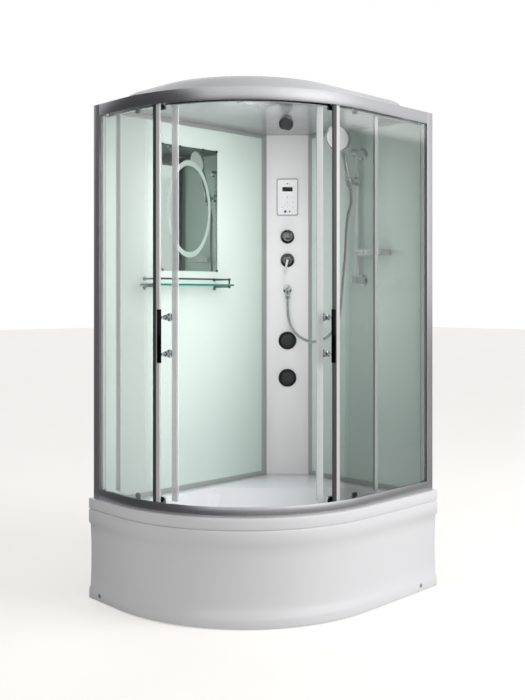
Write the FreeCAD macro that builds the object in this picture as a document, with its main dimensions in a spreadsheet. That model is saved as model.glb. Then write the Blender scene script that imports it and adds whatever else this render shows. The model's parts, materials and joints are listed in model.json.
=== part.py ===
import FreeCAD, Part
import math
import os
import Sketcher
from FreeCAD import Placement, Rotation, Vector

# Hydromassage shower cabin with a deep tray, a curved front and two sliding curved doors.
# Millimetres and degrees. +Z is up, the long wall faces -Y, the short wall faces -X,
# and the curved front closes the corner towards -X and -Y.

sizes = {
    # plan of the cabin, between the rails' outer faces and the walls' inner faces
    "cabin_length": 1170,
    "cabin_width": 900,
    "left_run": 200,
    "tray_overhang": 15,
    "wall_depth": 15,
    # levels
    "frame_top": 2090,
    "tray_height": 427,
    "roof_rise": 95,
    # tray
    "tray_skin": 5,
    "rim_drop": 43,
    "rim_width": 70,
    "ledge_drop": 35,
    "bowl_margin": 75,
    "bowl_corner": 90,
    "seat_reach": 450,
    "seat_step": 24,
    "bowl_floor": 175,
    "bowl_taper": 45,
    "seat_slope": 105,
    # drain
    "drain_x": -60,
    "drain_y": -60,
    "drain_hole_radius": 45,
    "drain_flange_radius": 57,
    "drain_cover_radius": 52,
    "drain_cover_height": 9,
    "drain_gap": 3,
    "drain_cup_radius": 40,
    "drain_cup_depth": 62,
    "drain_pipe_radius": 20,
    "drain_pipe_length": 56,
    "drain_collar_radius": 22.5,
    "drain_collar_length": 4,
    # base frame and feet
    "frame_tube": 25,
    "frame_tube_wall": 2,
    "frame_margin": 40,
    "frame_front_reach": 270,
    "frame_upright_setback": 85,
    "foot_radius": 25,
    "foot_height": 10,
    "foot_rod_radius": 6,
    # skirt panel, outward profile below the tray rim
    "skirt_skin": 4,
    "skirt_groove": 4,
    "skirt_hook": 30,
    "skirt_hook_gap": 0.4,
    "skirt_band": 52,
    "skirt_band_slope": 14,
    "skirt_field_inset": 9,
    "skirt_field_sag": 4,
    "skirt_base": 44,
    "skirt_base_inset": 2,
    "skirt_floor_gap": 4,
    "screw_cap_radius": 9,
    "screw_cap_height": 2,
    "screw_cap_level": 29,
    "screw_cap_left_setback": 79,
    "screw_cap_right_setback": 119,
    # posts and rails
    "post_width": 40,
    "post_depth": 35,
    "post_wall": 2.5,
    "glass_bite": 10,
    "top_rail_height": 50,
    "bottom_rail_height": 42,
    "rail_depth": 50,
    "rail_wall": 2.5,
    "rail_web": 3,
    "rail_flange": 13,
    "inner_lip": 28,
    "bead_inset": 41,
    "bead_width": 3,
    "bead_height": 3,
    "rib_inset": 15,
    "rib_wall": 2,
    "rib_reach": 17,
    # front glass and door
    "fixed_glass_inset": 8,
    "door_glass_inset": 27,
    "glass_thickness": 5,
    "glass_clearance": 0.3,
    "left_fixed_end": 17.3,
    "right_fixed_end": 76.6,
    "end_profile_angle": 2.6,
    "end_profile_wall": 3.4,
    "end_profile_back": 1.5,
    "post_seal_width": 22,
    "post_seal_depth": 11,
    "left_door_start": -7.2,
    "right_door_start": 71.3,
    "door_angle": 30.6,
    "strip_angle": 2.4,
    "strip_overlap_angle": 1.7,
    "strip_thickness": 8,
    "door_bottom": 460,
    "strip_bottom": 473,
    "door_top_gap": 4,
    # door handles
    "left_handle_angle": 18.3,
    "right_handle_angle": 75.6,
    "handle_level": 1125,
    "handle_length": 210,
    "handle_radius": 9,
    "handle_standoff": 15,
    "handle_post_radius": 6,
    "handle_post_pitch": 145,
    "handle_washer_radius": 11,
    "handle_washer_height": 3,
    "knob_reach": 33,
    "knob_radius": 16,
    "knob_height": 8,
    # rollers
    "left_roller_first": 6,
    "left_roller_second": 17.2,
    "right_roller_first": 76.8,
    "right_roller_second": 87.9,
    "wheel_radius": 11.5,
    "wheel_groove_radius": 9,
    "wheel_groove_width": 4.5,
    "wheel_width": 8,
    "wheel_running_gap": 0.3,
    "axle_radius": 3,
    "axle_play": 0.08,
    "bracket_thickness": 3.6,
    "bracket_width": 24,
    "bracket_screw_radius": 4,
    "bracket_cap_radius": 9,
    "bracket_cap_height": 4,
    "top_cap_drop": 10,
    "bottom_cap_rise": 7,
    # walls
    "wall_profile": 20,
    "trim_profile": 30,
    "wall_profile_proud": 4,
    "wall_glass_thickness": 5,
    # corner column
    "column_leg": 152,
    "column_skin": 4,
    "column_hole_play": 0.5,
    # ceiling and roof
    "roof_margin": 40,
    "ceiling_skin": 4,
    "roof_skin": 4,
    "dome_margin": 150,
    "dome_shoulder": 65,
    # mirror and shelf
    "mirror_left": -225,
    "mirror_width": 331,
    "mirror_bottom": 1400,
    "mirror_height": 573,
    "mirror_thickness": 4,
    "mirror_corner": 6,
    "shelf_left": -351,
    "shelf_width": 470,
    "shelf_depth": 120,
    "shelf_level": 1330,
    "shelf_thickness": 8,
    "shelf_corner": 18,
    "gallery_radius": 4,
    "gallery_ball_radius": 7,
    "gallery_rise": 30,
    "gallery_inset": 12,
    "gallery_hole_play": 0.5,
    "gallery_flange_radius": 12,
    "gallery_flange_height": 3,
    # control panel on the column
    "control_width": 107,
    "control_height": 184,
    "control_level": 1779,
    "control_thickness": 9,
    "control_corner": 8,
    "display_width": 51,
    "display_height": 21,
    "display_rise": 28,
    "display_recess": 1.5,
    # valves
    "diverter_level": 1581,
    "mixer_level": 1463,
    "rose_radius": 35,
    "rose_height": 6,
    "valve_neck_radius": 21,
    "valve_neck_height": 8,
    "valve_body_radius": 24,
    "valve_body_length": 46,
    "inlet_radius": 10.4,
    "inlet_length": 22,
    "inlet_collar_radius": 13,
    "inlet_collar_length": 3,
    "inlet_drop_angle": 30,
    "valve_play": 0.3,
    "stem_radius": 5,
    "stem_length": 12,
    "stem_play": 0.08,
    "knob_outer_radius": 24,
    "knob_length": 30,
    "knob_taper": 4,
    "pointer_width": 4,
    "cap_radius": 23,
    "cap_length": 22,
    "cap_slot_width": 13,
    "lever_pin_radius": 2.5,
    "lever_width": 12,
    "lever_knuckle_radius": 4,
    "lever_length": 72,
    "lever_tip_width": 9,
    "lever_thickness": 6,
    "lever_rest_turn": 12,
    # hose outlet
    "outlet_level": 1318,
    "outlet_rose_radius": 22,
    "outlet_rose_height": 6,
    "outlet_neck_radius": 10,
    "outlet_reach": 38,
    "outlet_drop": 27,
    "nut_radius": 12.5,
    "nut_length": 25,
    # body jets
    "upper_jet_level": 1061,
    "lower_jet_level": 874,
    "jet_ring_radius": 44.6,
    "jet_ring_height": 9,
    "jet_ball_radius": 36,
    "jet_ball_play": 0.5,
    "jet_pivot_height": 3,
    "jet_face_height": 12,
    "jet_face_back": 13,
    "jet_seat_depth": 22,
    "jet_tube_radius": 9,
    "jet_tube_length": 20,
    # slide bar
    "bar_wall_gap": 50,
    "bar_y": -56,
    "bar_radius": 9.5,
    "bar_top_gap": 137,
    "bar_length": 596,
    "bar_bracket_radius": 17,
    "bar_bracket_overhang": 22,
    "bar_flange_radius": 28,
    "bar_flange_height": 6,
    "slider_radius": 17,
    "slider_height": 40,
    "slider_drop": 134,
    "slider_play": 0.3,
    "knuckle_offset": 33,
    "knuckle_radius": 8,
    "knuckle_half_width": 9.7,
    "cheek_thickness": 6,
    "cheek_gap": 0.3,
    "knuckle_pin_radius": 3,
    "knuckle_pin_play": 0.08,
    # hand shower, in the holder's own leaning frame
    "holder_lean": 16,
    "holder_reach": 25,
    "holder_radius": 18,
    "holder_height": 34,
    "holder_wall": 4,
    "holder_play": 0.3,
    "handset_length": 205,
    "handset_nut_length": 24,
    "handset_nut_radius": 12,
    "handset_tip_radius": 10.5,
    "handset_neck_radius": 13,
    "head_radius": 66,
    "head_depth": 22,
    "head_back_radius": 34,
    "head_rise": 210,
    "head_forward": 21,
    "head_tilt": 86,
    "head_swivel": 10,
    # soap dish
    "soap_rise": 126,
    "soap_clamp_radius": 16,
    "soap_clamp_height": 24,
    "soap_width": 150,
    "soap_depth": 95,
    "soap_height": 26,
    "soap_wall": 2.5,
    "soap_corner": 10,
    "soap_offset": 20,
    "soap_wall_gap": 8,
    "soap_slot_count": 6,
    "soap_slot_width": 9,
    # hose
    "hose_radius": 7,
    "hose_bore_radius": 4.5,
    "hose_rib_depth": 0.9,
    "hose_rib_count": 120,
    "hose_seat_gap": 0.1,
    # overhead shower
    "overhead_x": 163,
    "overhead_y": 42,
    "overhead_drop": 20,
    "overhead_flange_radius": 26,
    "overhead_flange_height": 6,
    "overhead_neck_radius": 6.5,
    "overhead_ball_radius": 11,
    "overhead_ball_play": 0.3,
    "overhead_cup_radius": 16,
    "overhead_face_radius": 33,
    "overhead_length": 40,
    "overhead_rim_height": 12,
    "overhead_pitch": 32,
    # fan in the ceiling
    "fan_x": -130,
    "fan_y": -110,
    "fan_plate": 150,
    "fan_plate_height": 8,
    "fan_corner": 10,
    "fan_slot_count": 7,
    "fan_slot_width": 9,
    "fan_duct_radius": 62,
    "fan_duct_wall": 3,
    "fan_duct_height": 36,
    "fan_hub_radius": 16,
    "fan_arm_width": 8,
    "fan_boss_height": 12,
    "fan_pin_radius": 2.5,
    "fan_pin_play": 0.08,
    "fan_blade_count": 7,
    "fan_blade_gap": 4,
    "fan_blade_thickness": 1.8,
    "fan_blade_height": 11,
    "fan_blade_pitch": 35,
    # cuts run this far past what they cut
    "overrun": 2,
}

doc = FreeCAD.newDocument("ShowerCabin")
sheet = doc.addObject("Spreadsheet::Sheet", "Sizes")
for row, (alias, number) in enumerate(sizes.items(), start=1):
    sheet.set(f"A{row}", alias)
    sheet.set(f"B{row}", str(number))
    sheet.setAlias(f"B{row}", alias)
doc.recompute()

UP = Vector(0, 0, 1)
nodes = {}


class Size:
    """A number read from the sheet, which keeps the expression that it comes from."""

    def __init__(self, number, text):
        self.number = float(number)
        self.text = text

    def __float__(self):
        return self.number

    def __add__(self, other):
        return Size(self.number + float(other), f"({self.text} + {sum_text(other)})")

    def __radd__(self, other):
        return Size(self.number + float(other), f"({sum_text(other)} + {self.text})")

    def __sub__(self, other):
        return Size(self.number - float(other), f"({self.text} - {sum_text(other)})")

    def __rsub__(self, other):
        return Size(float(other) - self.number, f"({sum_text(other)} - {self.text})")

    def __mul__(self, count):
        return Size(self.number * float(count), f"({self.text} * {sum_text(count)})")

    __rmul__ = __mul__

    def __truediv__(self, count):
        return Size(self.number / float(count), f"({self.text} / {sum_text(count)})")

    def __neg__(self):
        return Size(-self.number, f"(0 - {self.text})")

    def __lt__(self, other):
        return self.number < float(other)


def sum_text(value):
    return value.text if isinstance(value, Size) else repr(float(value))


class Cells:
    """Every alias of the sheet as a Size, by its own name."""

    def __getattr__(self, alias):
        return Size(sheet.get(alias), f"Sizes.{alias}")


cell = Cells()


def vector(x, y=0, z=0):
    return Vector(float(x), float(y), float(z))


def drive(thing, **properties):
    """Sets properties and binds each one that comes from the sheet."""
    for name, value in properties.items():
        setattr(thing, name, float(value))
        if isinstance(value, Size):
            thing.setExpression(name, value.text)


def place(thing, x=0, y=0, z=0, turn=Rotation()):
    """Moves a thing, with its position bound to the sheet."""
    thing.Placement = Placement(vector(x, y, z), turn)
    for axis, value in zip("xyz", (x, y, z)):
        if isinstance(value, Size):
            thing.setExpression(f".Placement.Base.{axis}", value.text)
    return thing


def box(name, length, width, height, x=0, y=0, z=0, turn=Rotation()):
    solid = doc.addObject("Part::Box", name)
    drive(solid, Length=length, Width=width, Height=height)
    return place(solid, x, y, z, turn)


def rod(name, radius, length, x=0, y=0, z=0, along=UP):
    solid = doc.addObject("Part::Cylinder", name)
    drive(solid, Radius=radius, Height=length)
    return place(solid, x, y, z, Rotation(UP, along))


def ball(name, radius, x=0, y=0, z=0):
    solid = doc.addObject("Part::Sphere", name)
    drive(solid, Radius=radius)
    return place(solid, x, y, z, Rotation(UP, -90))


def fuse(name, *parts):
    joined = doc.addObject("Part::MultiFuse", name)
    joined.Shapes = list(parts)
    return joined


def cut(name, base, *tools):
    left = doc.addObject("Part::Cut", name)
    left.Base = base
    left.Tool = tools[0] if len(tools) == 1 else fuse(f"{name}_tools", *tools)
    return left


def common(name, base, tool):
    shared = doc.addObject("Part::Common", name)
    shared.Base = base
    shared.Tool = tool
    return shared


def together(name, *parts):
    """Separate solids of one node."""
    group = doc.addObject("Part::Compound", name)
    group.Links = list(parts)
    return group


def held(name, shape, placement=Placement()):
    """A shape from Part's own functions, in the document."""
    feature = doc.addObject("Part::Feature", name)
    feature.Shape = shape
    feature.Placement = placement
    return feature


def keep(name, thing):
    """Names a finished sub-part."""
    thing.Label = name
    nodes[name] = thing
    return thing


def origin_plane(body, role):
    return [feature for feature in body.Origin.OriginFeatures if feature.Role == role][0]


def outline_sketch(body, role, corners, offset=0):
    """A closed outline with every corner bound to the sheet."""
    sketch = body.newObject("Sketcher::SketchObject", f"{body.Name}_outline")
    sketch.AttachmentSupport = (origin_plane(body, role), [""])
    sketch.MapMode = "FlatFace"
    sketch.AttachmentOffset = Placement(vector(0, 0, offset), Rotation())
    points = [vector(x, y) for x, y in corners]
    count = len(points)
    for index, point in enumerate(points):
        sketch.addGeometry(Part.LineSegment(point, points[(index + 1) % count]))
    for index in range(count):
        sketch.addConstraint(
            Sketcher.Constraint("Coincident", index, 2, (index + 1) % count, 1)
        )
    for index, corner in enumerate(corners):
        for kind, axis, value in zip(("DistanceX", "DistanceY"), (-2, -1), corner):
            if float(value) == 0:
                sketch.addConstraint(Sketcher.Constraint("PointOnObject", index, 1, axis))
                continue
            number = sketch.addConstraint(
                Sketcher.Constraint(kind, -1, 1, index, 1, float(value))
            )
            if isinstance(value, Size):
                sketch.setExpression(f"Constraints[{number}]", value.text)
    return sketch


def pad(name, corners, height, base=0):
    """A prism on an outline in plan."""
    body = doc.addObject("PartDesign::Body", name)
    feature = body.newObject("PartDesign::Pad", f"{name}_pad")
    feature.Profile = outline_sketch(body, "XY_Plane", corners, base)
    drive(feature, Length=height)
    return body


def turned(name, corners, angle=360):
    """A half section of radius and height, turned about Z."""
    body = doc.addObject("PartDesign::Body", name)
    sketch = outline_sketch(body, "XZ_Plane", corners)
    feature = body.newObject("PartDesign::Revolution", f"{name}_turn")
    feature.Profile = sketch
    feature.ReferenceAxis = (sketch, ["V_Axis"])
    drive(feature, Angle=angle)
    return body


# Plan of the cabin, in row coordinates

left_face = -cell.cabin_length / 2
right_face = cell.cabin_length / 2
front_face = -cell.cabin_width / 2
back_face = cell.cabin_width / 2
front_radius = cell.cabin_width - cell.left_run
arc_x = left_face + front_radius
arc_y = front_face + front_radius
right_outside = right_face + cell.wall_depth
back_outside = back_face + cell.wall_depth
ledge_level = cell.tray_height - cell.ledge_drop
top_rail_bottom = cell.frame_top - cell.top_rail_height
bottom_rail_top = cell.tray_height + cell.bottom_rail_height


def rounded_wire(corners, level):
    """A closed plan wire through corners of x, y and radius."""
    points = [vector(x, y, level) for x, y, radius in corners]
    edges = []
    ends = []
    for index, (x, y, radius) in enumerate(corners):
        here = points[index]
        before = (points[index - 1] - here).normalize()
        after = (points[(index + 1) % len(points)] - here).normalize()
        if float(radius) == 0:
            ends.append((here, here, None))
            continue
        half = before.getAngle(after) / 2
        reach = float(radius) / math.tan(half)
        middle = here + (before + after).normalize() * (float(radius) / math.sin(half))
        near = middle + (here - middle).normalize() * float(radius)
        ends.append((here + before * reach, here + after * reach, near))
    for index, (start, stop, near) in enumerate(ends):
        if near is not None:
            edges.append(Part.Arc(start, near, stop).toShape())
        edges.append(Part.LineSegment(stop, ends[(index + 1) % len(ends)][0]).toShape())
    return Part.Wire(edges)


def plan_corners(inset, back):
    """The cabin's plan, set in from the rails' outer faces and out past the walls."""
    return [
        (left_face + inset, back_face + back, 0),
        (left_face + inset, front_face + inset, front_radius - inset),
        (right_face + back, front_face + inset, 0),
        (right_face + back, back_face + back, 0),
    ]


def plan_slab(inset, back, low, high):
    face = Part.Face(rounded_wire(plan_corners(inset, back), low))
    return face.extrude(vector(0, 0, high - low))


def on_front(inset, angle):
    """A point of the front arc, its angle counted from the left end towards the front."""
    radius = float(front_radius - inset)
    turn = math.radians(180 + float(angle))
    return vector(arc_x, arc_y) + Vector(radius * math.cos(turn), radius * math.sin(turn), 0)


def front_band(outer, inner, low, high, first, last, left_run=0, front_run=0):
    """A curved wall along the front, with straight runs past the ends of the arc."""
    middle = (float(first) + float(last)) / 2
    left_end = vector(0, left_run)
    front_end = vector(front_run)
    edges = []
    for inset, forward in ((outer, True), (inner, False)):
        start, stop = on_front(inset, first), on_front(inset, last)
        edges.append(Part.Arc(start, on_front(inset, middle), stop).toShape())
        if float(left_run):
            edges.append(Part.LineSegment(start + left_end, start).toShape())
        if float(front_run):
            edges.append(Part.LineSegment(stop, stop + front_end).toShape())
    for angle, run in ((first, left_end), (last, front_end)):
        edges.append(
            Part.LineSegment(on_front(outer, angle) + run, on_front(inner, angle) + run).toShape()
        )
    face = Part.Face(Part.Wire(Part.__sortEdges__(edges)))
    face.translate(vector(0, 0, low))
    return face.extrude(vector(0, 0, high - low))


def front_turn(angle):
    """Turns a piece built at the left end of the arc along the front."""
    return Placement(vector(arc_x, arc_y), Rotation(UP, float(angle)))


# Tray: a deep shell with a raised front rim, a ledge for the walls, a corner seat and a bowl


def bowl_corners(inset, seat_inset, corner):
    """The bowl's plan: the cabin's plan, cut off by the seat's front edge."""
    margin = cell.bowl_margin + inset
    left, front = left_face + margin, front_face + margin
    right, back = right_face - cell.bowl_margin + cell.rail_wall - inset, back_face - margin
    seat = right_face + back_face - (cell.seat_reach + seat_inset) * math.sqrt(2)
    return [
        (left, back, corner),
        (left, front, front_radius - margin),
        (right, front, corner),
        (right, seat - right, corner),
        (seat - back, back, corner),
    ]


def bowl_body(skin):
    """The bowl from the ledge to its floor, grown by a skin."""
    seat_level = ledge_level - cell.seat_step
    upper = rounded_wire(bowl_corners(-skin, -skin, cell.bowl_corner + skin), seat_level - skin)
    lower = rounded_wire(
        bowl_corners(cell.bowl_taper - skin, cell.seat_slope - skin, cell.bowl_corner / 2 + skin),
        cell.bowl_floor - skin,
    )
    rise = cell.seat_step + skin
    return Part.makeLoft([upper, lower], True, True).fuse(Part.Face(upper).extrude(vector(0, 0, rise)))


skin = cell.tray_skin
rim_low = cell.tray_height - cell.rim_drop
rim_inset = cell.rim_width - cell.tray_overhang
shell = plan_slab(-cell.tray_overhang, cell.wall_depth, rim_low, cell.tray_height)
shell = shell.cut(
    plan_slab(skin - cell.tray_overhang, cell.wall_depth - skin, rim_low, cell.tray_height - skin)
)
shell = shell.fuse(
    plan_slab(rim_inset - skin, cell.wall_depth, ledge_level - skin, cell.tray_height)
)
shell = shell.cut(
    plan_slab(rim_inset, cell.wall_depth + cell.overrun, ledge_level, cell.tray_height + cell.overrun)
)
shell = shell.fuse(bowl_body(skin)).cut(bowl_body(0))
wall_seat = Part.makeBox(
    float(cell.cabin_length - cell.post_depth + cell.overrun + cell.wall_depth),
    float(cell.wall_depth + cell.wall_profile_proud + cell.overrun),
    float(cell.ledge_drop + cell.overrun),
    vector(left_face + cell.post_depth, back_face - cell.wall_profile_proud, ledge_level),
)
short_seat = Part.makeBox(
    float(cell.wall_depth + cell.wall_profile_proud + cell.overrun),
    float(cell.cabin_width - cell.post_depth + cell.overrun + cell.wall_depth),
    float(cell.ledge_drop + cell.overrun),
    vector(right_face - cell.wall_profile_proud, front_face + cell.post_depth, ledge_level),
)
drain_hole = Part.makeCylinder(
    float(cell.drain_hole_radius),
    float(cell.bowl_floor),
    vector(cell.drain_x, cell.drain_y),
)
shell = shell.cut(wall_seat).cut(short_seat).cut(drain_hole).removeSplitter()
keep("tray", held("TrayShell", shell))

# Drain: a trap under the bowl with its flange, and a domed cover above it

trap_top = cell.bowl_floor - skin
drain_body = turned(
    "DrainTrap",
    [
        (0, -cell.drain_cup_depth),
        (cell.drain_cup_radius, -cell.drain_cup_depth),
        (cell.drain_cup_radius, -cell.drain_gap),
        (cell.drain_flange_radius, -cell.drain_gap),
        (cell.drain_flange_radius, 0),
        (cell.drain_cup_radius - cell.drain_gap, 0),
        (cell.drain_cup_radius - cell.drain_gap, cell.drain_gap - cell.drain_cup_depth),
        (0, cell.drain_gap - cell.drain_cup_depth),
    ],
)
place(drain_body, cell.drain_x, cell.drain_y, trap_top)
pipe_level = trap_top - cell.drain_cup_depth + cell.drain_pipe_radius + cell.drain_gap
pipe_run = cell.drain_collar_length + cell.drain_pipe_length
drain_pipe = rod(
    "DrainPipe",
    cell.drain_pipe_radius,
    cell.drain_cup_radius + pipe_run - cell.drain_gap,
    cell.drain_x,
    cell.drain_y + cell.drain_gap,
    pipe_level,
    Vector(0, 1, 0),
)
drain_collar = rod(
    "DrainCollar",
    cell.drain_collar_radius,
    cell.drain_cup_radius + cell.drain_collar_length - cell.drain_gap,
    cell.drain_x,
    cell.drain_y + cell.drain_gap,
    pipe_level,
    Vector(0, 1, 0),
)
drain_room = rod(
    "DrainRoom",
    cell.drain_cup_radius - cell.drain_gap,
    cell.drain_cup_depth - cell.drain_gap,
    cell.drain_x,
    cell.drain_y,
    trap_top - cell.drain_cup_depth + cell.drain_gap,
)
drain_bore = rod(
    "DrainBore",
    cell.drain_pipe_radius - cell.drain_gap,
    cell.drain_cup_radius + pipe_run + cell.overrun,
    cell.drain_x,
    cell.drain_y,
    pipe_level,
    Vector(0, 1, 0),
)
drain_solid = fuse("DrainSolid", drain_body, drain_pipe, drain_collar)
keep(
    "drain_body",
    cut("DrainBody", drain_solid, drain_room, drain_bore),
)
drain_cover = turned(
    "DrainCover",
    [
        (0, 0),
        (cell.drain_hole_radius - cell.drain_gap, 0),
        (cell.drain_hole_radius - cell.drain_gap, skin),
        (cell.drain_cover_radius, skin),
        (cell.drain_cover_radius, skin + cell.drain_gap),
        (cell.drain_hole_radius - cell.drain_gap, skin + cell.drain_cover_height),
        (0, skin + cell.drain_cover_height),
    ],
)
place(drain_cover, cell.drain_x, cell.drain_y, trap_top)
keep("drain_cover", drain_cover)

# Base frame of square tube under the bowl, with uprights to the ledge, and its levelling feet

tube = cell.frame_tube
tube_wall = cell.frame_tube_wall
frame_top = cell.bowl_floor - skin
frame_low = frame_top - tube
upright_height = ledge_level - skin - frame_top
frame_right = right_face - cell.frame_margin
frame_back = back_face - cell.frame_margin
frame_left = left_face + cell.frame_front_reach
frame_front = front_face + cell.frame_front_reach
outer_left = left_face + cell.frame_upright_setback
outer_front = front_face + cell.frame_upright_setback


def square_tube(name, run, x, y, z, along):
    """A square tube from a corner, running along X, Y or Z."""
    sides = [run if axis == along else tube for axis in "XYZ"]
    bores = [run + 2 * cell.overrun if axis == along else tube - 2 * tube_wall for axis in "XYZ"]
    steps = [-cell.overrun if axis == along else tube_wall for axis in "XYZ"]
    outer = box(f"{name}Tube", *sides, x, y, z)
    bore = box(f"{name}Bore", *bores, x + steps[0], y + steps[1], z + steps[2])
    return cut(name, outer, bore)


middle_left = cell.drain_x + cell.drain_flange_radius + tube
bars = [
    square_tube("BackBar", frame_right - outer_left, outer_left, frame_back - tube, frame_low, "X"),
    square_tube(
        "RightBar", frame_back - tube - outer_front, frame_right - tube, outer_front, frame_low, "Y"
    ),
    square_tube("FrontBar", frame_right - tube - frame_left, frame_left, frame_front, frame_low, "X"),
    square_tube(
        "LeftBar", frame_back - frame_front - 2 * tube, frame_left, frame_front + tube, frame_low, "Y"
    ),
    square_tube(
        "MiddleBar", frame_back - frame_front - 2 * tube, middle_left, frame_front + tube, frame_low, "Y"
    ),
    square_tube("LeftUpright", upright_height, outer_left, frame_back - tube, frame_top, "Z"),
    square_tube(
        "CornerUpright", upright_height, frame_right - tube, frame_back - tube, frame_top, "Z"
    ),
    square_tube("FrontUpright", upright_height, frame_right - tube, outer_front, frame_top, "Z"),
]
keep("base_frame", fuse("BaseFrame", *bars))

foot_places = [
    (outer_left + tube / 2, frame_back - tube / 2),
    (middle_left + tube / 2, frame_back - tube / 2),
    (frame_right - tube / 2, frame_back - tube / 2),
    (frame_left + tube / 2, frame_front + tube / 2),
    (middle_left + tube / 2, frame_front + tube / 2),
    (frame_right - tube / 2, outer_front + tube / 2),
]
feet = []
for index, (x, y) in enumerate(foot_places):
    foot = turned(
        f"Foot{index}",
        [
            (0, 0),
            (cell.foot_radius, 0),
            (cell.foot_radius, cell.foot_height / 2),
            (cell.foot_rod_radius * 2, cell.foot_height),
            (cell.foot_rod_radius, cell.foot_height),
            (cell.foot_rod_radius, frame_low),
            (0, frame_low),
        ],
    )
    feet.append(place(foot, x, y))
keep("levelling_feet", together("LevellingFeet", *feet))

# Rails and skirt: sections swept along the front


def front_path(body, level, left_stop, right_stop):
    """The rails' outer line in plan: a straight run, the front arc and a straight run."""
    path = body.newObject("Sketcher::SketchObject", f"{body.Name}_path")
    path.AttachmentSupport = (origin_plane(body, "XY_Plane"), [""])
    path.MapMode = "FlatFace"
    path.AttachmentOffset = Placement(vector(0, 0, level), Rotation())
    centre = vector(arc_x, arc_y)
    path.addGeometry(Part.LineSegment(vector(left_face, left_stop), vector(left_face, arc_y)))
    path.addGeometry(
        Part.ArcOfCircle(Part.Circle(centre, UP, float(front_radius)), math.pi, 1.5 * math.pi)
    )
    path.addGeometry(Part.LineSegment(vector(arc_x, front_face), vector(right_stop, front_face)))
    path.addConstraint(Sketcher.Constraint("Tangent", 0, 2, 1, 1))
    path.addConstraint(Sketcher.Constraint("Tangent", 1, 2, 2, 1))
    path.addConstraint(Sketcher.Constraint("Vertical", 0))
    path.addConstraint(Sketcher.Constraint("Horizontal", 2))
    bound = [
        (Sketcher.Constraint("Radius", 1, float(front_radius)), front_radius),
        (Sketcher.Constraint("DistanceX", -1, 1, 0, 1, float(left_face)), left_face),
        (Sketcher.Constraint("DistanceY", -1, 1, 0, 1, float(left_stop)), left_stop),
        (Sketcher.Constraint("DistanceX", -1, 1, 2, 2, float(right_stop)), right_stop),
        (Sketcher.Constraint("DistanceY", -1, 1, 2, 2, float(front_face)), front_face),
    ]
    for constraint, value in bound:
        number = path.addConstraint(constraint)
        path.setExpression(f"Constraints[{number}]", value.text)
    return path


def swept(name, section, level, left_stop, right_stop):
    """A section of inset and height, swept along the front."""
    body = doc.addObject("PartDesign::Body", name)
    path = front_path(body, level, left_stop, right_stop)
    corners = [(left_face + inset, level + height) for inset, height in section]
    sketch = outline_sketch(body, "XZ_Plane", corners, -left_stop)
    feature = body.newObject("PartDesign::AdditivePipe", f"{name}_sweep")
    feature.Profile = sketch
    feature.Spine = (path, ["Edge1", "Edge2", "Edge3"])
    return body


post_top = back_face - cell.post_width
post_right = right_face - cell.post_width
depth = cell.rail_depth
wall = cell.rail_wall
web = cell.rail_web
bead_end = cell.bead_inset + cell.bead_width
rib_end = cell.rib_inset + cell.rib_wall
height = cell.top_rail_height
top_section = [
    (0, 0),
    (0, height),
    (depth, height),
    (depth, 0),
    (depth - cell.rail_flange, 0),
    (depth - cell.rail_flange, web),
    (cell.bead_inset, web),
    (cell.bead_inset, web + cell.bead_height),
    (bead_end, web + cell.bead_height),
    (bead_end, web),
    (depth - wall, web),
    (depth - wall, height - web),
    (rib_end, height - web),
    (rib_end, height - web - cell.rib_reach),
    (cell.rib_inset, height - web - cell.rib_reach),
    (cell.rib_inset, height - web),
    (wall, height - web),
    (wall, 0),
]
keep("top_rail", swept("TopRail", top_section, top_rail_bottom, post_top, post_right))
height = cell.bottom_rail_height
bottom_section = [
    (0, 0),
    (depth, 0),
    (depth, cell.inner_lip),
    (depth - wall, cell.inner_lip),
    (depth - wall, web),
    (bead_end, web),
    (bead_end, web + cell.bead_height),
    (cell.bead_inset, web + cell.bead_height),
    (cell.bead_inset, web),
    (rib_end, web),
    (rib_end, web + cell.rib_reach),
    (cell.rib_inset, web + cell.rib_reach),
    (cell.rib_inset, web),
    (wall, web),
    (wall, height),
    (0, height),
]
keep("bottom_rail", swept("BottomRail", bottom_section, cell.tray_height, post_top, post_right))

# Skirt panel: a lip under the tray rim, a smooth band, a hollow field and a base band

lip = -cell.tray_overhang
hook_outer = lip + skin + cell.skirt_hook_gap
hook_inner = hook_outer + cell.skirt_skin
skirt_top = rim_low - cell.skirt_groove
field = lip + cell.skirt_field_inset
base_out = lip + cell.skirt_base_inset
band_low = skirt_top - cell.skirt_band
field_top = band_low - cell.skirt_band_slope
field_low = cell.skirt_base + cell.skirt_band_slope
thin = cell.skirt_skin


def skirt_face():
    """The panel's section at the left end, with its inset along X and its height along Z."""
    points = [
        (hook_inner, skirt_top + cell.skirt_hook),
        (hook_outer, skirt_top + cell.skirt_hook),
        (hook_outer, skirt_top),
        (lip, skirt_top),
        (lip, band_low),
        (field, field_top),
        (field, field_low),
        (base_out, cell.skirt_base),
        (base_out, cell.skirt_floor_gap),
        (base_out + thin, cell.skirt_floor_gap),
        (base_out + thin, cell.skirt_base - thin / 2),
        (field + thin, field_low - thin / 2),
        (field + thin, field_top + thin / 2),
        (lip + thin, band_low + thin / 2),
        (lip + thin, skirt_top - thin),
        (hook_inner, skirt_top - thin),
    ]
    placed = [vector(left_face + inset, back_outside, level) for inset, level in points]
    sag = vector(cell.skirt_field_sag)
    edges = []
    for index, start in enumerate(placed):
        stop = placed[(index + 1) % len(placed)]
        if index in (5, 11):
            edges.append(Part.Arc(start, (start + stop) / 2 + sag, stop).toShape())
        else:
            edges.append(Part.LineSegment(start, stop).toShape())
    return Part.Face(Part.Wire(edges))


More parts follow.
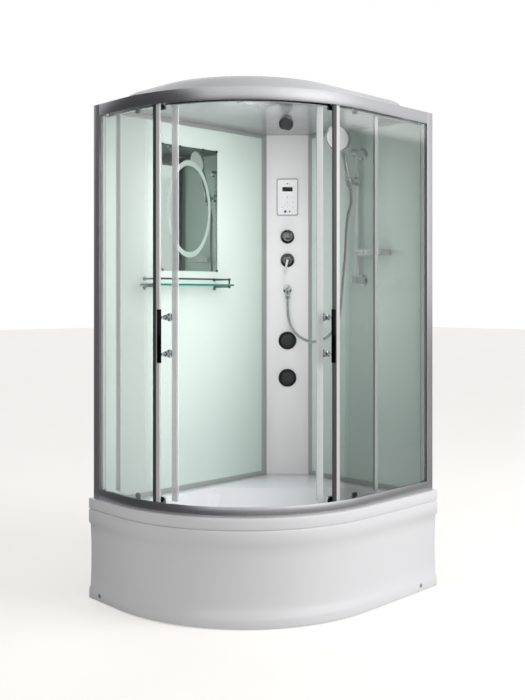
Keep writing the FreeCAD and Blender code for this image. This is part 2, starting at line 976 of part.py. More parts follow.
def skirt_shape():
    """The section along the left run, round the arc and along the front, its hook cut short."""
    face = skirt_face()
    left = face.extrude(vector(0, arc_y - back_outside))
    face.translate(vector(0, arc_y - back_outside))
    curve = face.revolve(vector(arc_x, arc_y), UP, 90)
    face.rotate(vector(arc_x, arc_y), UP, 90)
    front = face.extrude(vector(right_outside - arc_x))
    panel = left.fuse([curve, front])
    end_run = skin + cell.skirt_hook_gap
    hook_low = rim_low - cell.skirt_hook_gap
    hook_wide = thin + 2 * cell.overrun
    hook_rise = cell.skirt_hook + cell.overrun
    left_end = Part.makeBox(
        float(hook_wide),
        float(end_run + cell.overrun),
        float(hook_rise),
        vector(left_face + hook_outer - cell.overrun, back_outside - end_run, hook_low),
    )
    front_end = Part.makeBox(
        float(end_run + cell.overrun),
        float(hook_wide),
        float(hook_rise),
        vector(right_outside - end_run, front_face + hook_outer - cell.overrun, hook_low),
    )
    return panel.cut([left_end, front_end]).removeSplitter()


keep("skirt_panel", held("SkirtPanel", skirt_shape()))

cap_profile = [
    (0, 0),
    (cell.screw_cap_radius, 0),
    (cell.screw_cap_radius, cell.screw_cap_height / 2),
    (cell.screw_cap_radius / 2, cell.screw_cap_height),
    (0, cell.screw_cap_height),
]
left_cap = turned("LeftScrewCap", cap_profile)
place(
    left_cap,
    left_face + base_out,
    back_outside - cell.screw_cap_left_setback,
    cell.screw_cap_level,
    Rotation(UP, Vector(-1, 0, 0)),
)
right_cap = turned("RightScrewCap", cap_profile)
place(
    right_cap,
    right_outside - cell.screw_cap_right_setback,
    front_face + base_out,
    cell.screw_cap_level,
    Rotation(UP, Vector(0, -1, 0)),
)
keep("skirt_screw_caps", together("SkirtScrewCaps", left_cap, right_cap))

# Posts: open channels that take the front glass

post_height = cell.frame_top - cell.tray_height


def channel(name, open_depth, breadth, thickness, x, y, turn):
    """A U channel whose mouth faces -Y before it is turned."""
    corners = [
        (0, 0),
        (thickness, 0),
        (thickness, open_depth - thickness),
        (breadth - thickness, open_depth - thickness),
        (breadth - thickness, 0),
        (breadth, 0),
        (breadth, open_depth),
        (0, open_depth),
    ]
    return place(pad(name, corners, post_height), x, y, cell.tray_height, turn)


left_post = channel(
    "LeftPost", cell.post_width, cell.post_depth, cell.post_wall, left_face, post_top, Rotation()
)
keep("left_post", left_post)
right_post = channel(
    "RightPost",
    cell.post_width,
    cell.post_depth,
    cell.post_wall,
    post_right,
    front_face + cell.post_depth,
    Rotation(UP, -90),
)
keep("right_post", right_post)

# Front glass: fixed panes in the rails' outer grooves, and their end profiles

thickness = cell.glass_thickness
fixed_out = cell.fixed_glass_inset
fixed_in = fixed_out + thickness
glass_low = cell.tray_height + web
glass_high = cell.frame_top - web
glass_left_run = back_face - cell.post_wall - cell.glass_bite - arc_y
glass_front_run = right_face - cell.post_wall - cell.glass_bite - arc_x
left_glass_end = cell.left_fixed_end - 0.3 * cell.end_profile_angle
right_glass_end = cell.right_fixed_end + 0.3 * cell.end_profile_angle
keep(
    "fixed_glass_left",
    held(
        "FixedGlassLeft",
        front_band(fixed_out, fixed_in, glass_low, glass_high, 0, left_glass_end, glass_left_run),
    ),
)
keep(
    "fixed_glass_right",
    held(
        "FixedGlassRight",
        front_band(
            fixed_out, fixed_in, glass_low, glass_high, right_glass_end, 90, 0, glass_front_run
        ),
    ),
)


def end_profile(first, last, glass_first, glass_last):
    """A moulded edge profile with a groove for the fixed pane."""
    profile = front_band(
        fixed_out - cell.end_profile_wall,
        fixed_in + cell.end_profile_back,
        glass_low,
        glass_high,
        first,
        last,
    )
    gap = cell.glass_clearance
    groove = front_band(
        fixed_out - gap,
        fixed_in + gap,
        glass_low - cell.overrun,
        glass_high + cell.overrun,
        glass_first,
        glass_last,
    )
    return profile.cut(groove)


left_profile = end_profile(
    cell.left_fixed_end - cell.end_profile_angle,
    cell.left_fixed_end,
    cell.left_fixed_end - 2 * cell.end_profile_angle,
    left_glass_end + 0.05 * cell.end_profile_angle,
)
right_profile = end_profile(
    cell.right_fixed_end,
    cell.right_fixed_end + cell.end_profile_angle,
    right_glass_end - 0.05 * cell.end_profile_angle,
    cell.right_fixed_end + 2 * cell.end_profile_angle,
)
keep("fixed_profiles", held("FixedProfiles", Part.makeCompound([left_profile, right_profile])))

# Post seals: gaskets between each post's mouth and its pane

seal_low = bottom_rail_top
seal_height = top_rail_bottom - seal_low
seal_in = fixed_in + cell.glass_clearance
left_seal = box(
    "LeftPostSeal",
    cell.post_seal_depth,
    cell.post_seal_width,
    seal_height,
    left_face + seal_in,
    post_top - cell.post_seal_width / 2,
    seal_low,
)
right_seal = box(
    "RightPostSeal",
    cell.post_seal_width,
    cell.post_seal_depth,
    seal_height,
    post_right - cell.post_seal_width / 2,
    front_face + seal_in,
    seal_low,
)
keep("post_seals", together("PostSeals", left_seal, right_seal))

# Doors: curved panes that turn about the front arc's centre, shown slid open

door_out = cell.door_glass_inset
door_in = door_out + thickness
door_high = top_rail_bottom - cell.door_top_gap
top_cap_level = top_rail_bottom - cell.top_cap_drop
bottom_cap_level = bottom_rail_top + cell.bottom_cap_rise
bead_middle = cell.bead_inset + cell.bead_width / 2
top_wheel_level = top_rail_bottom + web + cell.bead_height + cell.wheel_groove_radius
top_wheel_level = top_wheel_level + cell.wheel_running_gap
bottom_wheel_level = cell.tray_height + web + cell.bead_height + cell.wheel_groove_radius
bottom_wheel_level = bottom_wheel_level + cell.wheel_running_gap


def radial_rod(radius, outer, inner, level, angle):
    """A rod through the front, square to the arc, between two insets."""
    rod_shape = Part.makeCylinder(
        float(radius),
        float(inner - outer),
        vector(outer - front_radius, 0, level),
        Vector(1, 0, 0),
    )
    rod_shape.Placement = front_turn(angle)
    return rod_shape


def door_pane(start, handle_angle, roller_angles):
    """A curved pane with holes for its handle and its rollers."""
    bare = cell.strip_angle - cell.strip_overlap_angle
    pane = front_band(
        door_out, door_in, cell.door_bottom, door_high, start + bare, start + cell.door_angle - bare
    )
    play = cell.glass_clearance
    holes = []
    for level in (top_cap_level, bottom_cap_level):
        for angle in roller_angles:
            holes.append((cell.bracket_screw_radius + play, level, angle))
    for side in (-1, 1):
        level = cell.handle_level + side * cell.handle_post_pitch / 2
        holes.append((cell.handle_post_radius + play, level, handle_angle))
    for radius, level, angle in holes:
        pane = pane.cut(
            radial_rod(radius, door_out - cell.overrun, door_in + cell.overrun, level, angle)
        )
    return pane


def door_strips(start):
    """The two edge strips of a door, each grooved for the pane."""
    swell = (cell.strip_thickness - thickness) / 2
    gap = cell.glass_clearance
    strips = []
    first = start + cell.strip_angle - cell.strip_overlap_angle - 0.02 * cell.strip_angle
    last = start + cell.door_angle - cell.strip_angle + cell.strip_overlap_angle
    last = last + 0.02 * cell.strip_angle
    groove = front_band(
        door_out - gap,
        door_in + gap,
        cell.strip_bottom - cell.overrun,
        door_high + cell.overrun,
        first,
        last,
    )
    for angle in (start, start + cell.door_angle - cell.strip_angle):
        strip = front_band(
            door_out - swell,
            door_in + swell,
            cell.strip_bottom,
            door_high,
            angle,
            angle + cell.strip_angle,
        )
        strips.append(strip.cut(groove))
    return Part.makeCompound(strips)


def door_handle(angle):
    """An outer bar on two posts through the pane, each ending in a knob inside."""
    gap = cell.glass_clearance
    bar = Part.makeCylinder(
        float(cell.handle_radius),
        float(cell.handle_length),
        vector(
            -front_radius - cell.handle_standoff,
            0,
            cell.handle_level - cell.handle_length / 2,
        ),
    )
    bar.Placement = front_turn(angle)
    washer = cell.handle_washer_height
    pieces = []
    for side in (-1, 1):
        level = cell.handle_level + side * cell.handle_post_pitch / 2
        knob_start = door_in + cell.knob_reach - cell.knob_height
        pieces += [
            radial_rod(cell.handle_post_radius, -cell.handle_standoff, knob_start, level, angle),
            radial_rod(
                cell.handle_washer_radius, door_out - gap - washer, door_out - gap, level, angle
            ),
            radial_rod(
                cell.handle_washer_radius, door_in + gap, door_in + gap + washer, level, angle
            ),
            radial_rod(
                cell.knob_radius, knob_start, knob_start + cell.knob_height, level, angle
            ),
        ]
    return bar.fuse(pieces)


def roller_bracket(cap_level, wheel_level, angle):
    """A plate on the pane's inner face, screwed through it, with the wheel's axle."""
    gap = cell.glass_clearance
    plate_out = door_in + gap
    plate_in = plate_out + cell.bracket_thickness
    low = min(float(cap_level), float(wheel_level)) - float(cell.bracket_cap_radius)
    high = max(float(cap_level), float(wheel_level)) + float(cell.bracket_cap_radius)
    width = cell.bracket_width
    plate = Part.makeBox(
        float(cell.bracket_thickness),
        float(width),
        high - low,
        vector(plate_out - front_radius, -width / 2, low),
    )
    plate.Placement = front_turn(angle)
    axle_end = bead_middle + cell.wheel_width / 2
    boss_end = bead_middle - cell.wheel_width / 2 - cell.wheel_running_gap
    cap = cell.bracket_cap_height
    return plate.fuse(
        [
            radial_rod(cell.axle_radius, plate_out, axle_end, wheel_level, angle),
            radial_rod(2 * cell.axle_radius, plate_out, boss_end, wheel_level, angle),
            radial_rod(cell.bracket_screw_radius, door_out - gap, plate_in, cap_level, angle),
            radial_rod(
                cell.bracket_cap_radius, door_out - gap - cap, door_out - gap, cap_level, angle
            ),
        ]
    )


def wheel(name, level, angle):
    """A grooved wheel on a rail's bead, its bore running on the bracket's axle."""
    half = cell.wheel_width / 2
    groove = cell.wheel_groove_width / 2
    flare = cell.wheel_radius - cell.wheel_groove_radius
    bore = cell.axle_radius + cell.axle_play
    body = turned(
        name,
        [
            (bore, -half),
            (cell.wheel_radius, -half),
            (cell.wheel_radius, -groove - flare / 4),
            (cell.wheel_groove_radius, -groove),
            (cell.wheel_groove_radius, groove),
            (cell.wheel_radius, groove + flare / 4),
            (cell.wheel_radius, half),
            (bore, half),
        ],
    )
    spot = on_front(bead_middle, angle)
    spot.z = float(level)
    along = Rotation(UP, float(angle)).multiply(Rotation(UP, Vector(-1, 0, 0)))
    body.Placement = Placement(spot, along)
    return body


doors = {
    "left": (
        cell.left_door_start,
        cell.left_handle_angle,
        (cell.left_roller_first, cell.left_roller_second),
    ),
    "right": (
        cell.right_door_start,
        cell.right_handle_angle,
        (cell.right_roller_first, cell.right_roller_second),
    ),
}
for side, (start, handle_angle, rollers) in doors.items():
    title = side.capitalize()
    keep(f"door_glass_{side}", held(f"DoorGlass{title}", door_pane(start, handle_angle, rollers)))
    keep(f"door_strips_{side}", held(f"DoorStrips{title}", door_strips(start)))
    keep(f"door_handle_{side}", held(f"DoorHandle{title}", door_handle(handle_angle)))
    brackets = [roller_bracket(top_cap_level, top_wheel_level, angle) for angle in rollers]
    brackets += [roller_bracket(bottom_cap_level, bottom_wheel_level, angle) for angle in rollers]
    keep(f"roller_brackets_{side}", held(f"RollerBrackets{title}", Part.makeCompound(brackets)))
    for place_name, level in (("top", top_wheel_level), ("bottom", bottom_wheel_level)):
        for number, angle in enumerate(rollers, start=1):
            node = f"{place_name}_wheel_{side}_{number}"
            keep(node, wheel(node.title().replace("_", ""), level, angle))

# Walls: painted glass panes held in aluminium profiles

proud = cell.wall_profile_proud
wall_low = ledge_level
wall_height = cell.frame_top - wall_low
profile_depth = cell.wall_depth + proud
pane_depth = cell.wall_glass_thickness
bite = cell.glass_bite
long_start = left_face + cell.post_depth
long_stop = right_face - cell.column_leg
short_start = front_face + cell.post_depth
short_stop = back_face - cell.column_leg
side = cell.wall_profile
trim = cell.trim_profile


def wall_frame(name, length):
    """Four profiles round a pane: start, end trim, top and bottom, built along X."""
    gap = cell.glass_clearance
    groove = box(
        f"{name}Groove",
        length - 2 * side + 2 * bite,
        pane_depth + 2 * gap,
        wall_height - 2 * side + 2 * bite,
        side - bite,
        proud - gap,
        side - bite,
    )
    outer = box(f"{name}Outer", length, profile_depth, wall_height)
    window = box(
        f"{name}Window",
        length - side - trim,
        profile_depth + 2 * cell.overrun,
        wall_height - 2 * side,
        side,
        -cell.overrun,
        side,
    )
    return cut(name, outer, window, groove)


def wall_pane(name, length):
    gap = cell.glass_clearance
    return box(
        name,
        length - 2 * side + 2 * bite - 2 * gap,
        pane_depth,
        wall_height - 2 * side + 2 * bite - 2 * gap,
    )


long_length = long_stop - long_start
short_length = short_stop - short_start
long_frame = place(
    wall_frame("LongWallFrame", long_length), long_start, back_face - proud, wall_low
)
short_turn = Rotation(UP, -90)
short_frame = place(
    wall_frame("ShortWallFrame", short_length),
    right_face - proud,
    short_stop,
    wall_low,
    short_turn,
)
keep("wall_profiles", together("WallProfiles", long_frame, short_frame))
pane_offset = side - bite + cell.glass_clearance
keep(
    "long_wall_glass",
    place(
        wall_pane("LongWallGlass", long_length),
        long_start + pane_offset,
        back_face,
        wall_low + pane_offset,
    ),
)
keep(
    "short_wall_glass",
    place(
        wall_pane("ShortWallGlass", short_length),
        right_face,
        short_stop - pane_offset,
        wall_low + pane_offset,
        short_turn,
    ),
)

# Corner column: a folded panel across the corner. Its fittings are built in its own frame,
# with X along the panel to the left as seen from inside, Y into the cabin and Z up.

column_x = right_face - cell.column_leg / 2
column_y = back_face - cell.column_leg / 2
column_turn = Rotation(UP, 135)


def on_column(thing):
    return place(thing, column_x, column_y, 0, column_turn)


fold = cell.column_skin
diagonal_fold = cell.column_skin * math.sqrt(2)
return_fold = cell.column_skin * (math.sqrt(2) - 1)
column_sheet = pad(
    "ColumnSheet",
    [
        (long_stop, back_outside),
        (long_stop, back_face),
        (right_face, short_stop),
        (right_outside, short_stop),
        (right_outside, short_stop + fold),
        (right_face + return_fold, short_stop + fold),
        (long_stop + fold, back_face + return_fold),
        (long_stop + fold, back_outside),
    ],
    wall_height,
    wall_low,
)
outward = Vector(0, 1, 0)
hole_play = cell.column_hole_play
column_holes = []
for name, radius, level in (
    ("DiverterHole", cell.valve_body_radius, cell.diverter_level),
    ("MixerHole", cell.valve_body_radius, cell.mixer_level),
    ("OutletHole", cell.outlet_neck_radius, cell.outlet_level),
    ("UpperJetHole", cell.jet_ball_radius + 2 * cell.jet_ball_play, cell.upper_jet_level),
    ("LowerJetHole", cell.jet_ball_radius + 2 * cell.jet_ball_play, cell.lower_jet_level),
):
    hole = rod(
        name,
        radius + hole_play,
        2 * diagonal_fold + 2 * cell.overrun,
        0,
        -2 * diagonal_fold,
        level,
        outward,
    )
    column_holes.append(hole)
hole_group = on_column(together("ColumnHoles", *column_holes))
keep("column_panel", cut("ColumnPanel", column_sheet, hole_group))

# Ceiling panel and roof

ceiling_low = cell.frame_top
ceiling_high = ceiling_low + cell.ceiling_skin
roof_back = cell.wall_depth - cell.overrun
ceiling = plan_slab(cell.roof_margin, roof_back, ceiling_low, ceiling_high)
fan_duct_outer = cell.fan_duct_radius
fan_opening = Part.makeCylinder(
    float(fan_duct_outer + cell.glass_clearance),
    float(cell.ceiling_skin + 2 * cell.overrun),
    vector(cell.fan_x, cell.fan_y, ceiling_low - cell.overrun),
)
keep("ceiling_panel", held("CeilingPanel", ceiling.cut(fan_opening)))

dome_rise_shares = (0, 0.47, 0.8, 1)
dome_inset_shares = (0, 0.25, 0.6, 1)


def dome(inset, drop):
    """The raised middle of the roof, as a loft through four plans."""
    crown = ceiling_high + cell.roof_skin
    rise = cell.frame_top + cell.roof_rise - crown
    wires = []
    for rise_share, inset_share in zip(dome_rise_shares, dome_inset_shares):
        shift = cell.dome_margin + inset_share * (cell.dome_shoulder + cell.roof_skin * 4)
        level = crown + rise_share * rise - drop
        wires.append(rounded_wire(plan_corners(shift + inset, roof_back - inset), level))
    return Part.makeLoft(wires, True, True)


roof_skin = cell.roof_skin
flange = plan_slab(cell.roof_margin, roof_back, ceiling_high, ceiling_high + roof_skin)
roof = flange.fuse(dome(0, 0))
hollow = dome(roof_skin, roof_skin)
keep("roof_shell", held("RoofShell", roof.cut(hollow).removeSplitter()))

# Mirror on the long wall, and a glass shelf with its gallery rail


def rounded_plate(name, width, tall, deep, corner, x=0, y=0, z=0, turn=Rotation()):
    """A plate in X and Y with its vertical edges rounded."""
    body = doc.addObject("PartDesign::Body", name)
    feature = body.newObject("PartDesign::Pad", f"{name}_pad")
    feature.Profile = outline_sketch(
        body, "XY_Plane", [(0, 0), (width, 0), (width, tall), (0, tall)]
    )
    drive(feature, Length=deep)
    doc.recompute()
    edges = [
        f"Edge{number}"
        for number, edge in enumerate(feature.Shape.Edges, start=1)
        if abs(edge.tangentAt(edge.FirstParameter).z) > 0.9
    ]
    fillet = body.newObject("PartDesign::Fillet", f"{name}_corners")
    fillet.Base = (feature, edges)
    drive(fillet, Radius=corner)
    return place(body, x, y, z, turn)


facing_front = Rotation(Vector(1, 0, 0), 90)
mirror = rounded_plate(
    "Mirror",
    cell.mirror_width,
    cell.mirror_height,
    cell.mirror_thickness,
    cell.mirror_corner,
    cell.mirror_left,
    back_face,
    cell.mirror_bottom,
    facing_front,
)
keep("mirror", mirror)

shelf_front = back_face - cell.shelf_depth
shelf_plate = rounded_plate(
    "ShelfPlate",
    cell.shelf_width,
    cell.shelf_depth,
    cell.shelf_thickness,
    cell.shelf_corner,
    cell.shelf_left,
    shelf_front,
    cell.shelf_level,
)
gallery_left = cell.shelf_left + cell.shelf_corner + cell.gallery_inset
gallery_right = cell.shelf_left + cell.shelf_width - cell.shelf_corner - cell.gallery_inset
gallery_front = shelf_front + cell.gallery_inset
gallery_level = cell.shelf_level + cell.gallery_rise
arm_level = cell.shelf_level - cell.gallery_radius - cell.glass_clearance
corner_ball = cell.gallery_ball_radius
thin_rod = cell.gallery_radius
shelf_holes = []
gallery = [
    rod(
        "GalleryFront",
        thin_rod,
        gallery_right - gallery_left,
        gallery_left,
        gallery_front,
        gallery_level,
        Vector(1, 0, 0),
    )
]
for name, x in (("Left", gallery_left), ("Right", gallery_right)):
    hole_radius = thin_rod + cell.gallery_hole_play
    hole_length = cell.shelf_thickness + 2 * cell.overrun
    hole_low = cell.shelf_level - cell.overrun
    shelf_holes.append(
        rod(f"Shelf{name}Hole", hole_radius, hole_length, x, gallery_front, hole_low)
    )
    arm_length = back_face - gallery_front
    backward = Vector(0, 1, 0)
    gallery += [
        rod(
            f"Gallery{name}Post",
            thin_rod,
            cell.gallery_rise + thin_rod,
            x,
            gallery_front,
            arm_level,
        ),
        ball(f"Gallery{name}Corner", corner_ball, x, gallery_front, gallery_level),
        rod(f"Gallery{name}Side", thin_rod, arm_length, x, gallery_front, gallery_level, backward),
        ball(f"Gallery{name}Foot", corner_ball, x, gallery_front, arm_level),
        rod(f"Gallery{name}Arm", thin_rod, arm_length, x, gallery_front, arm_level, backward),
    ]
    for part, level in (("High", gallery_level), ("Low", arm_level - corner_ball)):
        gallery.append(
            rod(
                f"Gallery{name}{part}Flange",
                cell.gallery_flange_radius - thin_rod,
                cell.gallery_flange_height,
                x,
                back_face - cell.gallery_flange_height,
                level,
                backward,
            )
        )
keep("shelf_glass", cut("ShelfGlass", shelf_plate, *shelf_holes))
shelf_seat = box(
    "ShelfSeat",
    cell.shelf_width,
    cell.shelf_depth,
    cell.shelf_thickness / 2,
    cell.shelf_left,
    shelf_front,
    cell.shelf_level,
)
gallery_core = [part for part in gallery if "Post" in part.Name]
gallery_trimmed = cut(
    "GalleryTrimmed", fuse("GalleryRods", *[p for p in gallery if p not in gallery_core]), shelf_seat
)
keep("shelf_rail", fuse("ShelfRail", gallery_trimmed, *gallery_core))

# Control panel: a flat pad with a recessed display

control = rounded_plate(
    "ControlPad",
    cell.control_width,
    cell.control_height,
    cell.control_thickness,
    cell.control_corner,
    cell.control_width / 2,
    0,
    cell.control_level - cell.control_height / 2,
    Rotation(UP, 180).multiply(facing_front),
)
display = box(
    "DisplayRecess",
    cell.display_width,
    cell.display_recess + cell.overrun,
    cell.display_height,
    -cell.display_width / 2,
    cell.control_thickness - cell.display_recess,
    cell.control_level + cell.display_rise,
)
keep("control_panel", on_column(cut("ControlPanel", control, display)))

# Valves: a body behind the column, its rose and neck in front, and a stem for the handle


def valve(name, level, inlets):
    """One valve, with water inlets pointing down if it has any."""
    behind = cell.valve_body_length
    parts = [
        rod(f"{name}Body", cell.valve_body_radius, behind, 0, -behind, level, outward),
        rod(f"{name}Rose", cell.rose_radius, cell.rose_height, 0, 0, level, outward),
        rod(
            f"{name}Neck",
            cell.valve_neck_radius,
            cell.rose_height + cell.valve_neck_height,
            0,
            0,
            level,
            outward,
        ),
        rod(
            f"{name}Stem",
            cell.stem_radius,
            cell.rose_height + cell.valve_neck_height + cell.stem_length,
            0,
            0,
            level,
            outward,
        ),
    ]
    collar = cell.valve_body_radius + cell.inlet_collar_length
    fall = math.radians(float(cell.inlet_drop_angle))
    for number in range(inlets):
        side_way = Vector(math.cos(fall) if number == 0 else -math.cos(fall), 0, -math.sin(fall))
        for piece, radius, reach in (
            ("Collar", cell.inlet_collar_radius, collar),
            ("Inlet", cell.inlet_radius, collar + cell.inlet_length),
        ):
            parts.append(
                rod(
                    f"{name}{piece}{number}", radius, reach, 0, -behind / 2 - fold, level, side_way
                )
            )
    return fuse(f"{name}Valve", *parts)


diverter = valve("Diverter", cell.diverter_level, 0)
mixer = valve("Mixer", cell.mixer_level, 2)
keep("valve_bodies", on_column(together("ValveBodies", diverter, mixer)))

handle_base = cell.rose_height + cell.valve_neck_height + cell.valve_play
stem_hole = cell.stem_radius + cell.stem_play
stem_room = cell.stem_length + cell.valve_play
knob_end = cell.knob_length
knob_profile = [
    (stem_hole, 0),
    (cell.knob_outer_radius, 0),
    (cell.knob_outer_radius, knob_end / 3),
    (cell.knob_outer_radius - cell.knob_taper, knob_end * 0.9),
    (cell.knob_outer_radius - 2 * cell.knob_taper, knob_end),
    (0, knob_end),
    (0, stem_room),
    (stem_hole, stem_room),
]
knob = turned("DiverterGrip", knob_profile)
place(knob, 0, handle_base, cell.diverter_level, Rotation(UP, outward))
pointer = box(
    "DiverterPointer",
    cell.pointer_width,
    knob_end / 3,
    cell.pointer_width / 2,
    -cell.pointer_width / 2,
    handle_base,
    cell.diverter_level + cell.knob_outer_radius - cell.pointer_width / 4,
)
keep("diverter_knob", on_column(fuse("DiverterKnob", knob, pointer)))

lever_lean = Rotation(Vector(0, 1, 0), -cell.lever_rest_turn.number)
cap_end = cell.cap_length
mixer_cap = turned(
    "MixerCapShell",
    [
        (stem_hole, 0),
        (cell.cap_radius, 0),
        (cell.cap_radius, cap_end * 0.7),
        (cell.cap_radius * 0.7, cap_end),
        (0, cap_end),
        (0, stem_room),
        (stem_hole, stem_room),
    ],
)
place(mixer_cap, 0, 0, 0, Rotation(UP, outward))
pin_forward = (cap_end + stem_room) / 2
slot_play = cell.valve_play
cap_slot = box(
    "MixerCapSlot",
    cell.cap_slot_width,
    cap_end - stem_room + cell.valve_play + cell.overrun,
    2 * cell.cap_radius,
    -cell.cap_slot_width / 2,
    stem_room + cell.valve_play,
    cell.lever_knuckle_radius + slot_play - 2 * cell.cap_radius,
)
cap_pin = rod(
    "MixerCapPin",
    cell.lever_pin_radius,
    cell.cap_slot_width + 2 * cell.overrun,
    -cell.cap_slot_width / 2 - cell.overrun,
    pin_forward + slot_play,
    0,
    Vector(1, 0, 0),
)
slotted_cap = fuse("MixerCapPinned", cut("MixerCapSlotted", mixer_cap, cap_slot), cap_pin)


def lever_shape():
    """A flat lever from the pin down past the rose, thinner towards its tip."""
    half_root = cell.lever_width / 2
    half_tip = cell.lever_tip_width / 2
    forward = pin_forward + slot_play
    corners = [
        vector(-half_root),
        vector(half_root),
        vector(half_tip, 0, -cell.lever_length),
        vector(-half_tip, 0, -cell.lever_length),
    ]
    blade = Part.Face(Part.makePolygon(corners + [corners[0]]))
    blade.translate(vector(0, forward - cell.lever_thickness / 2))
    blade = blade.extrude(vector(0, cell.lever_thickness))
    bore = Part.makeCylinder(
        float(cell.lever_pin_radius + cell.stem_play),
        float(2 * cell.lever_width),
        vector(-cell.lever_width, forward),
        Vector(1, 0, 0),
    )
    knuckle = Part.makeCylinder(
        float(cell.lever_knuckle_radius),
        float(cell.lever_width),
        vector(-half_root, forward),
        Vector(1, 0, 0),
    )
    return blade.fuse(knuckle).cut(bore).removeSplitter()


def on_mixer(thing):
    """Seats a piece built round the mixer's own axis."""
    seat = Placement(vector(column_x, column_y), column_turn)
    local = Placement(vector(0, handle_base, cell.mixer_level), lever_lean)
    thing.Placement = seat.multiply(local)
    return thing


keep("mixer_cap", on_mixer(together("MixerCap", slotted_cap)))
keep("mixer_lever", on_mixer(held("MixerLever", lever_shape())))

# Hose outlet: rose, bent neck and the hose's nut

outlet = [
    rod(
        "OutletRose",
        cell.outlet_rose_radius,
        cell.outlet_rose_height,
        0,
        0,
        cell.outlet_level,
        outward,
    ),
    rod(
        "OutletNeck",
        cell.outlet_neck_radius,
        cell.outlet_reach + 2 * fold,
        0,
        -2 * fold,
        cell.outlet_level,
        outward,
    ),
    ball("OutletElbow", cell.outlet_neck_radius, 0, cell.outlet_reach, cell.outlet_level),
    rod(
        "OutletSpout",
        cell.outlet_neck_radius,
        cell.outlet_drop,
        0,
        cell.outlet_reach,
        cell.outlet_level - cell.outlet_drop,
    ),
]
outlet_bottom = cell.outlet_level - cell.outlet_drop - cell.nut_length
nut_tip = cell.hose_radius + cell.overrun / 2
outlet_nut = turned(
    "OutletNut",
    [
        (0, 0),
        (nut_tip, 0),
        (cell.nut_radius, cell.nut_length * 0.4),
        (cell.nut_radius, cell.nut_length),
        (0, cell.nut_length),
    ],
)
place(outlet_nut, 0, cell.outlet_reach, outlet_bottom)
keep("hose_outlet", on_column(together("HoseOutlet", fuse("OutletBody", *outlet), outlet_nut)))

# Body jets: a ring and seat on the column, and a truncated ball face that tilts in it


def jet_ring(name, level):
    ring = turned(
        name,
        [
            (cell.jet_ball_radius + cell.jet_ball_play, -fold),
            (cell.jet_ball_radius + cell.jet_ball_play, cell.jet_ring_height),
            (cell.jet_ring_radius - cell.overrun, cell.jet_ring_height),
            (cell.jet_ring_radius, cell.jet_ring_height / 2),
            (cell.jet_ring_radius, 0),
            (cell.jet_ball_radius + 2 * cell.jet_ball_play, 0),
            (cell.jet_ball_radius + 2 * cell.jet_ball_play, -cell.jet_seat_depth - fold),
            (cell.jet_tube_radius, -cell.jet_seat_depth - fold),
            (cell.jet_tube_radius, -cell.jet_seat_depth - cell.jet_tube_length),
            (0, -cell.jet_seat_depth - cell.jet_tube_length),
            (0, -cell.jet_seat_depth),
            (cell.jet_ball_radius, -cell.jet_seat_depth),
            (cell.jet_ball_radius, -fold),
        ],
    )
    return place(ring, 0, 0, level, Rotation(UP, outward))


def jet_face(name, level):
    sphere = ball(f"{name}Ball", cell.jet_ball_radius)
    slab = box(
        f"{name}Slab",
        2 * cell.jet_ball_radius,
        2 * cell.jet_ball_radius,
        cell.jet_face_height + cell.jet_face_back,
        -cell.jet_ball_radius,
        -cell.jet_ball_radius,
        -cell.jet_face_back,
    )
    face = common(name, sphere, slab)
    return place(face, 0, cell.jet_pivot_height, level, Rotation(UP, outward))


ring_pair = together(
    "JetRings",
    jet_ring("UpperJetRing", cell.upper_jet_level),
    jet_ring("LowerJetRing", cell.lower_jet_level),
)
keep("jet_rings", on_column(ring_pair))
for node, level in (("jet_face_upper", cell.upper_jet_level), ("jet_face_lower", cell.lower_jet_level)):
    title = node.title().replace("_", "")
    keep(node, on_column(together(f"{title}Seated", jet_face(title, level))))

# Slide bar on the short wall, with its two brackets

bar_x = right_face - cell.bar_wall_gap
bar_top = cell.frame_top - cell.bar_top_gap
bar_bottom = bar_top - cell.bar_length
inward = Vector(-1, 0, 0)
slide_bar = rod("SlideBar", cell.bar_radius, cell.bar_length, bar_x, cell.bar_y, bar_bottom)
keep("slide_bar", slide_bar)
brackets = []
for name, level in (("Low", bar_bottom), ("High", bar_top)):
    reach = cell.bar_wall_gap + cell.bar_bracket_overhang
    solid = fuse(
        f"{name}BracketSolid",
        rod(
            f"{name}BracketPost", cell.bar_bracket_radius, reach, right_face, cell.bar_y, level, inward
        ),
        rod(
            f"{name}BracketFlange",
            cell.bar_flange_radius,
            cell.bar_flange_height,
            right_face,
            cell.bar_y,
            level,
            inward,
        ),
    )
    bore = rod(
        f"{name}BracketBore",
        cell.bar_radius,
        cell.bar_length,
        bar_x,
        cell.bar_y,
        bar_bottom,
    )
    brackets.append(cut(f"{name}Bracket", solid, bore))
keep("bar_brackets", together("BarBrackets", *brackets))

# Hand shower slider: a clamp on the bar with a fork for the holder's knuckle

pivot_x = bar_x - cell.knuckle_offset
cheek_out = cell.knuckle_half_width + cell.cheek_gap
slider_level = bar_top - cell.slider_drop
slider_low = slider_level - cell.slider_height / 2
slider_clamp = rod("SliderClamp", cell.slider_radius, cell.slider_height, bar_x, cell.bar_y, slider_low)
slider_parts = [slider_clamp]
for name, y in (
    ("Far", cell.bar_y + cheek_out),
    ("Near", cell.bar_y - cheek_out - cell.cheek_thickness),
):
    slider_parts += [
        box(
            f"Slider{name}Cheek",
            cell.knuckle_offset,
            cell.cheek_thickness,
            2 * cell.knuckle_radius,
            pivot_x,
            y,
            slider_level - cell.knuckle_radius,
        ),
        rod(
            f"Slider{name}Ear",
            cell.knuckle_radius,
            cell.cheek_thickness,
            pivot_x,
            y,
            slider_level,
            Vector(0, 1, 0),
        ),
    ]
slider_parts.append(
    rod(
        "SliderPin",
        cell.knuckle_pin_radius,
        2 * cheek_out + cell.cheek_thickness,
        pivot_x,
        cell.bar_y - cheek_out - cell.cheek_thickness / 2,
        slider_level,
        Vector(0, 1, 0),
    )
)
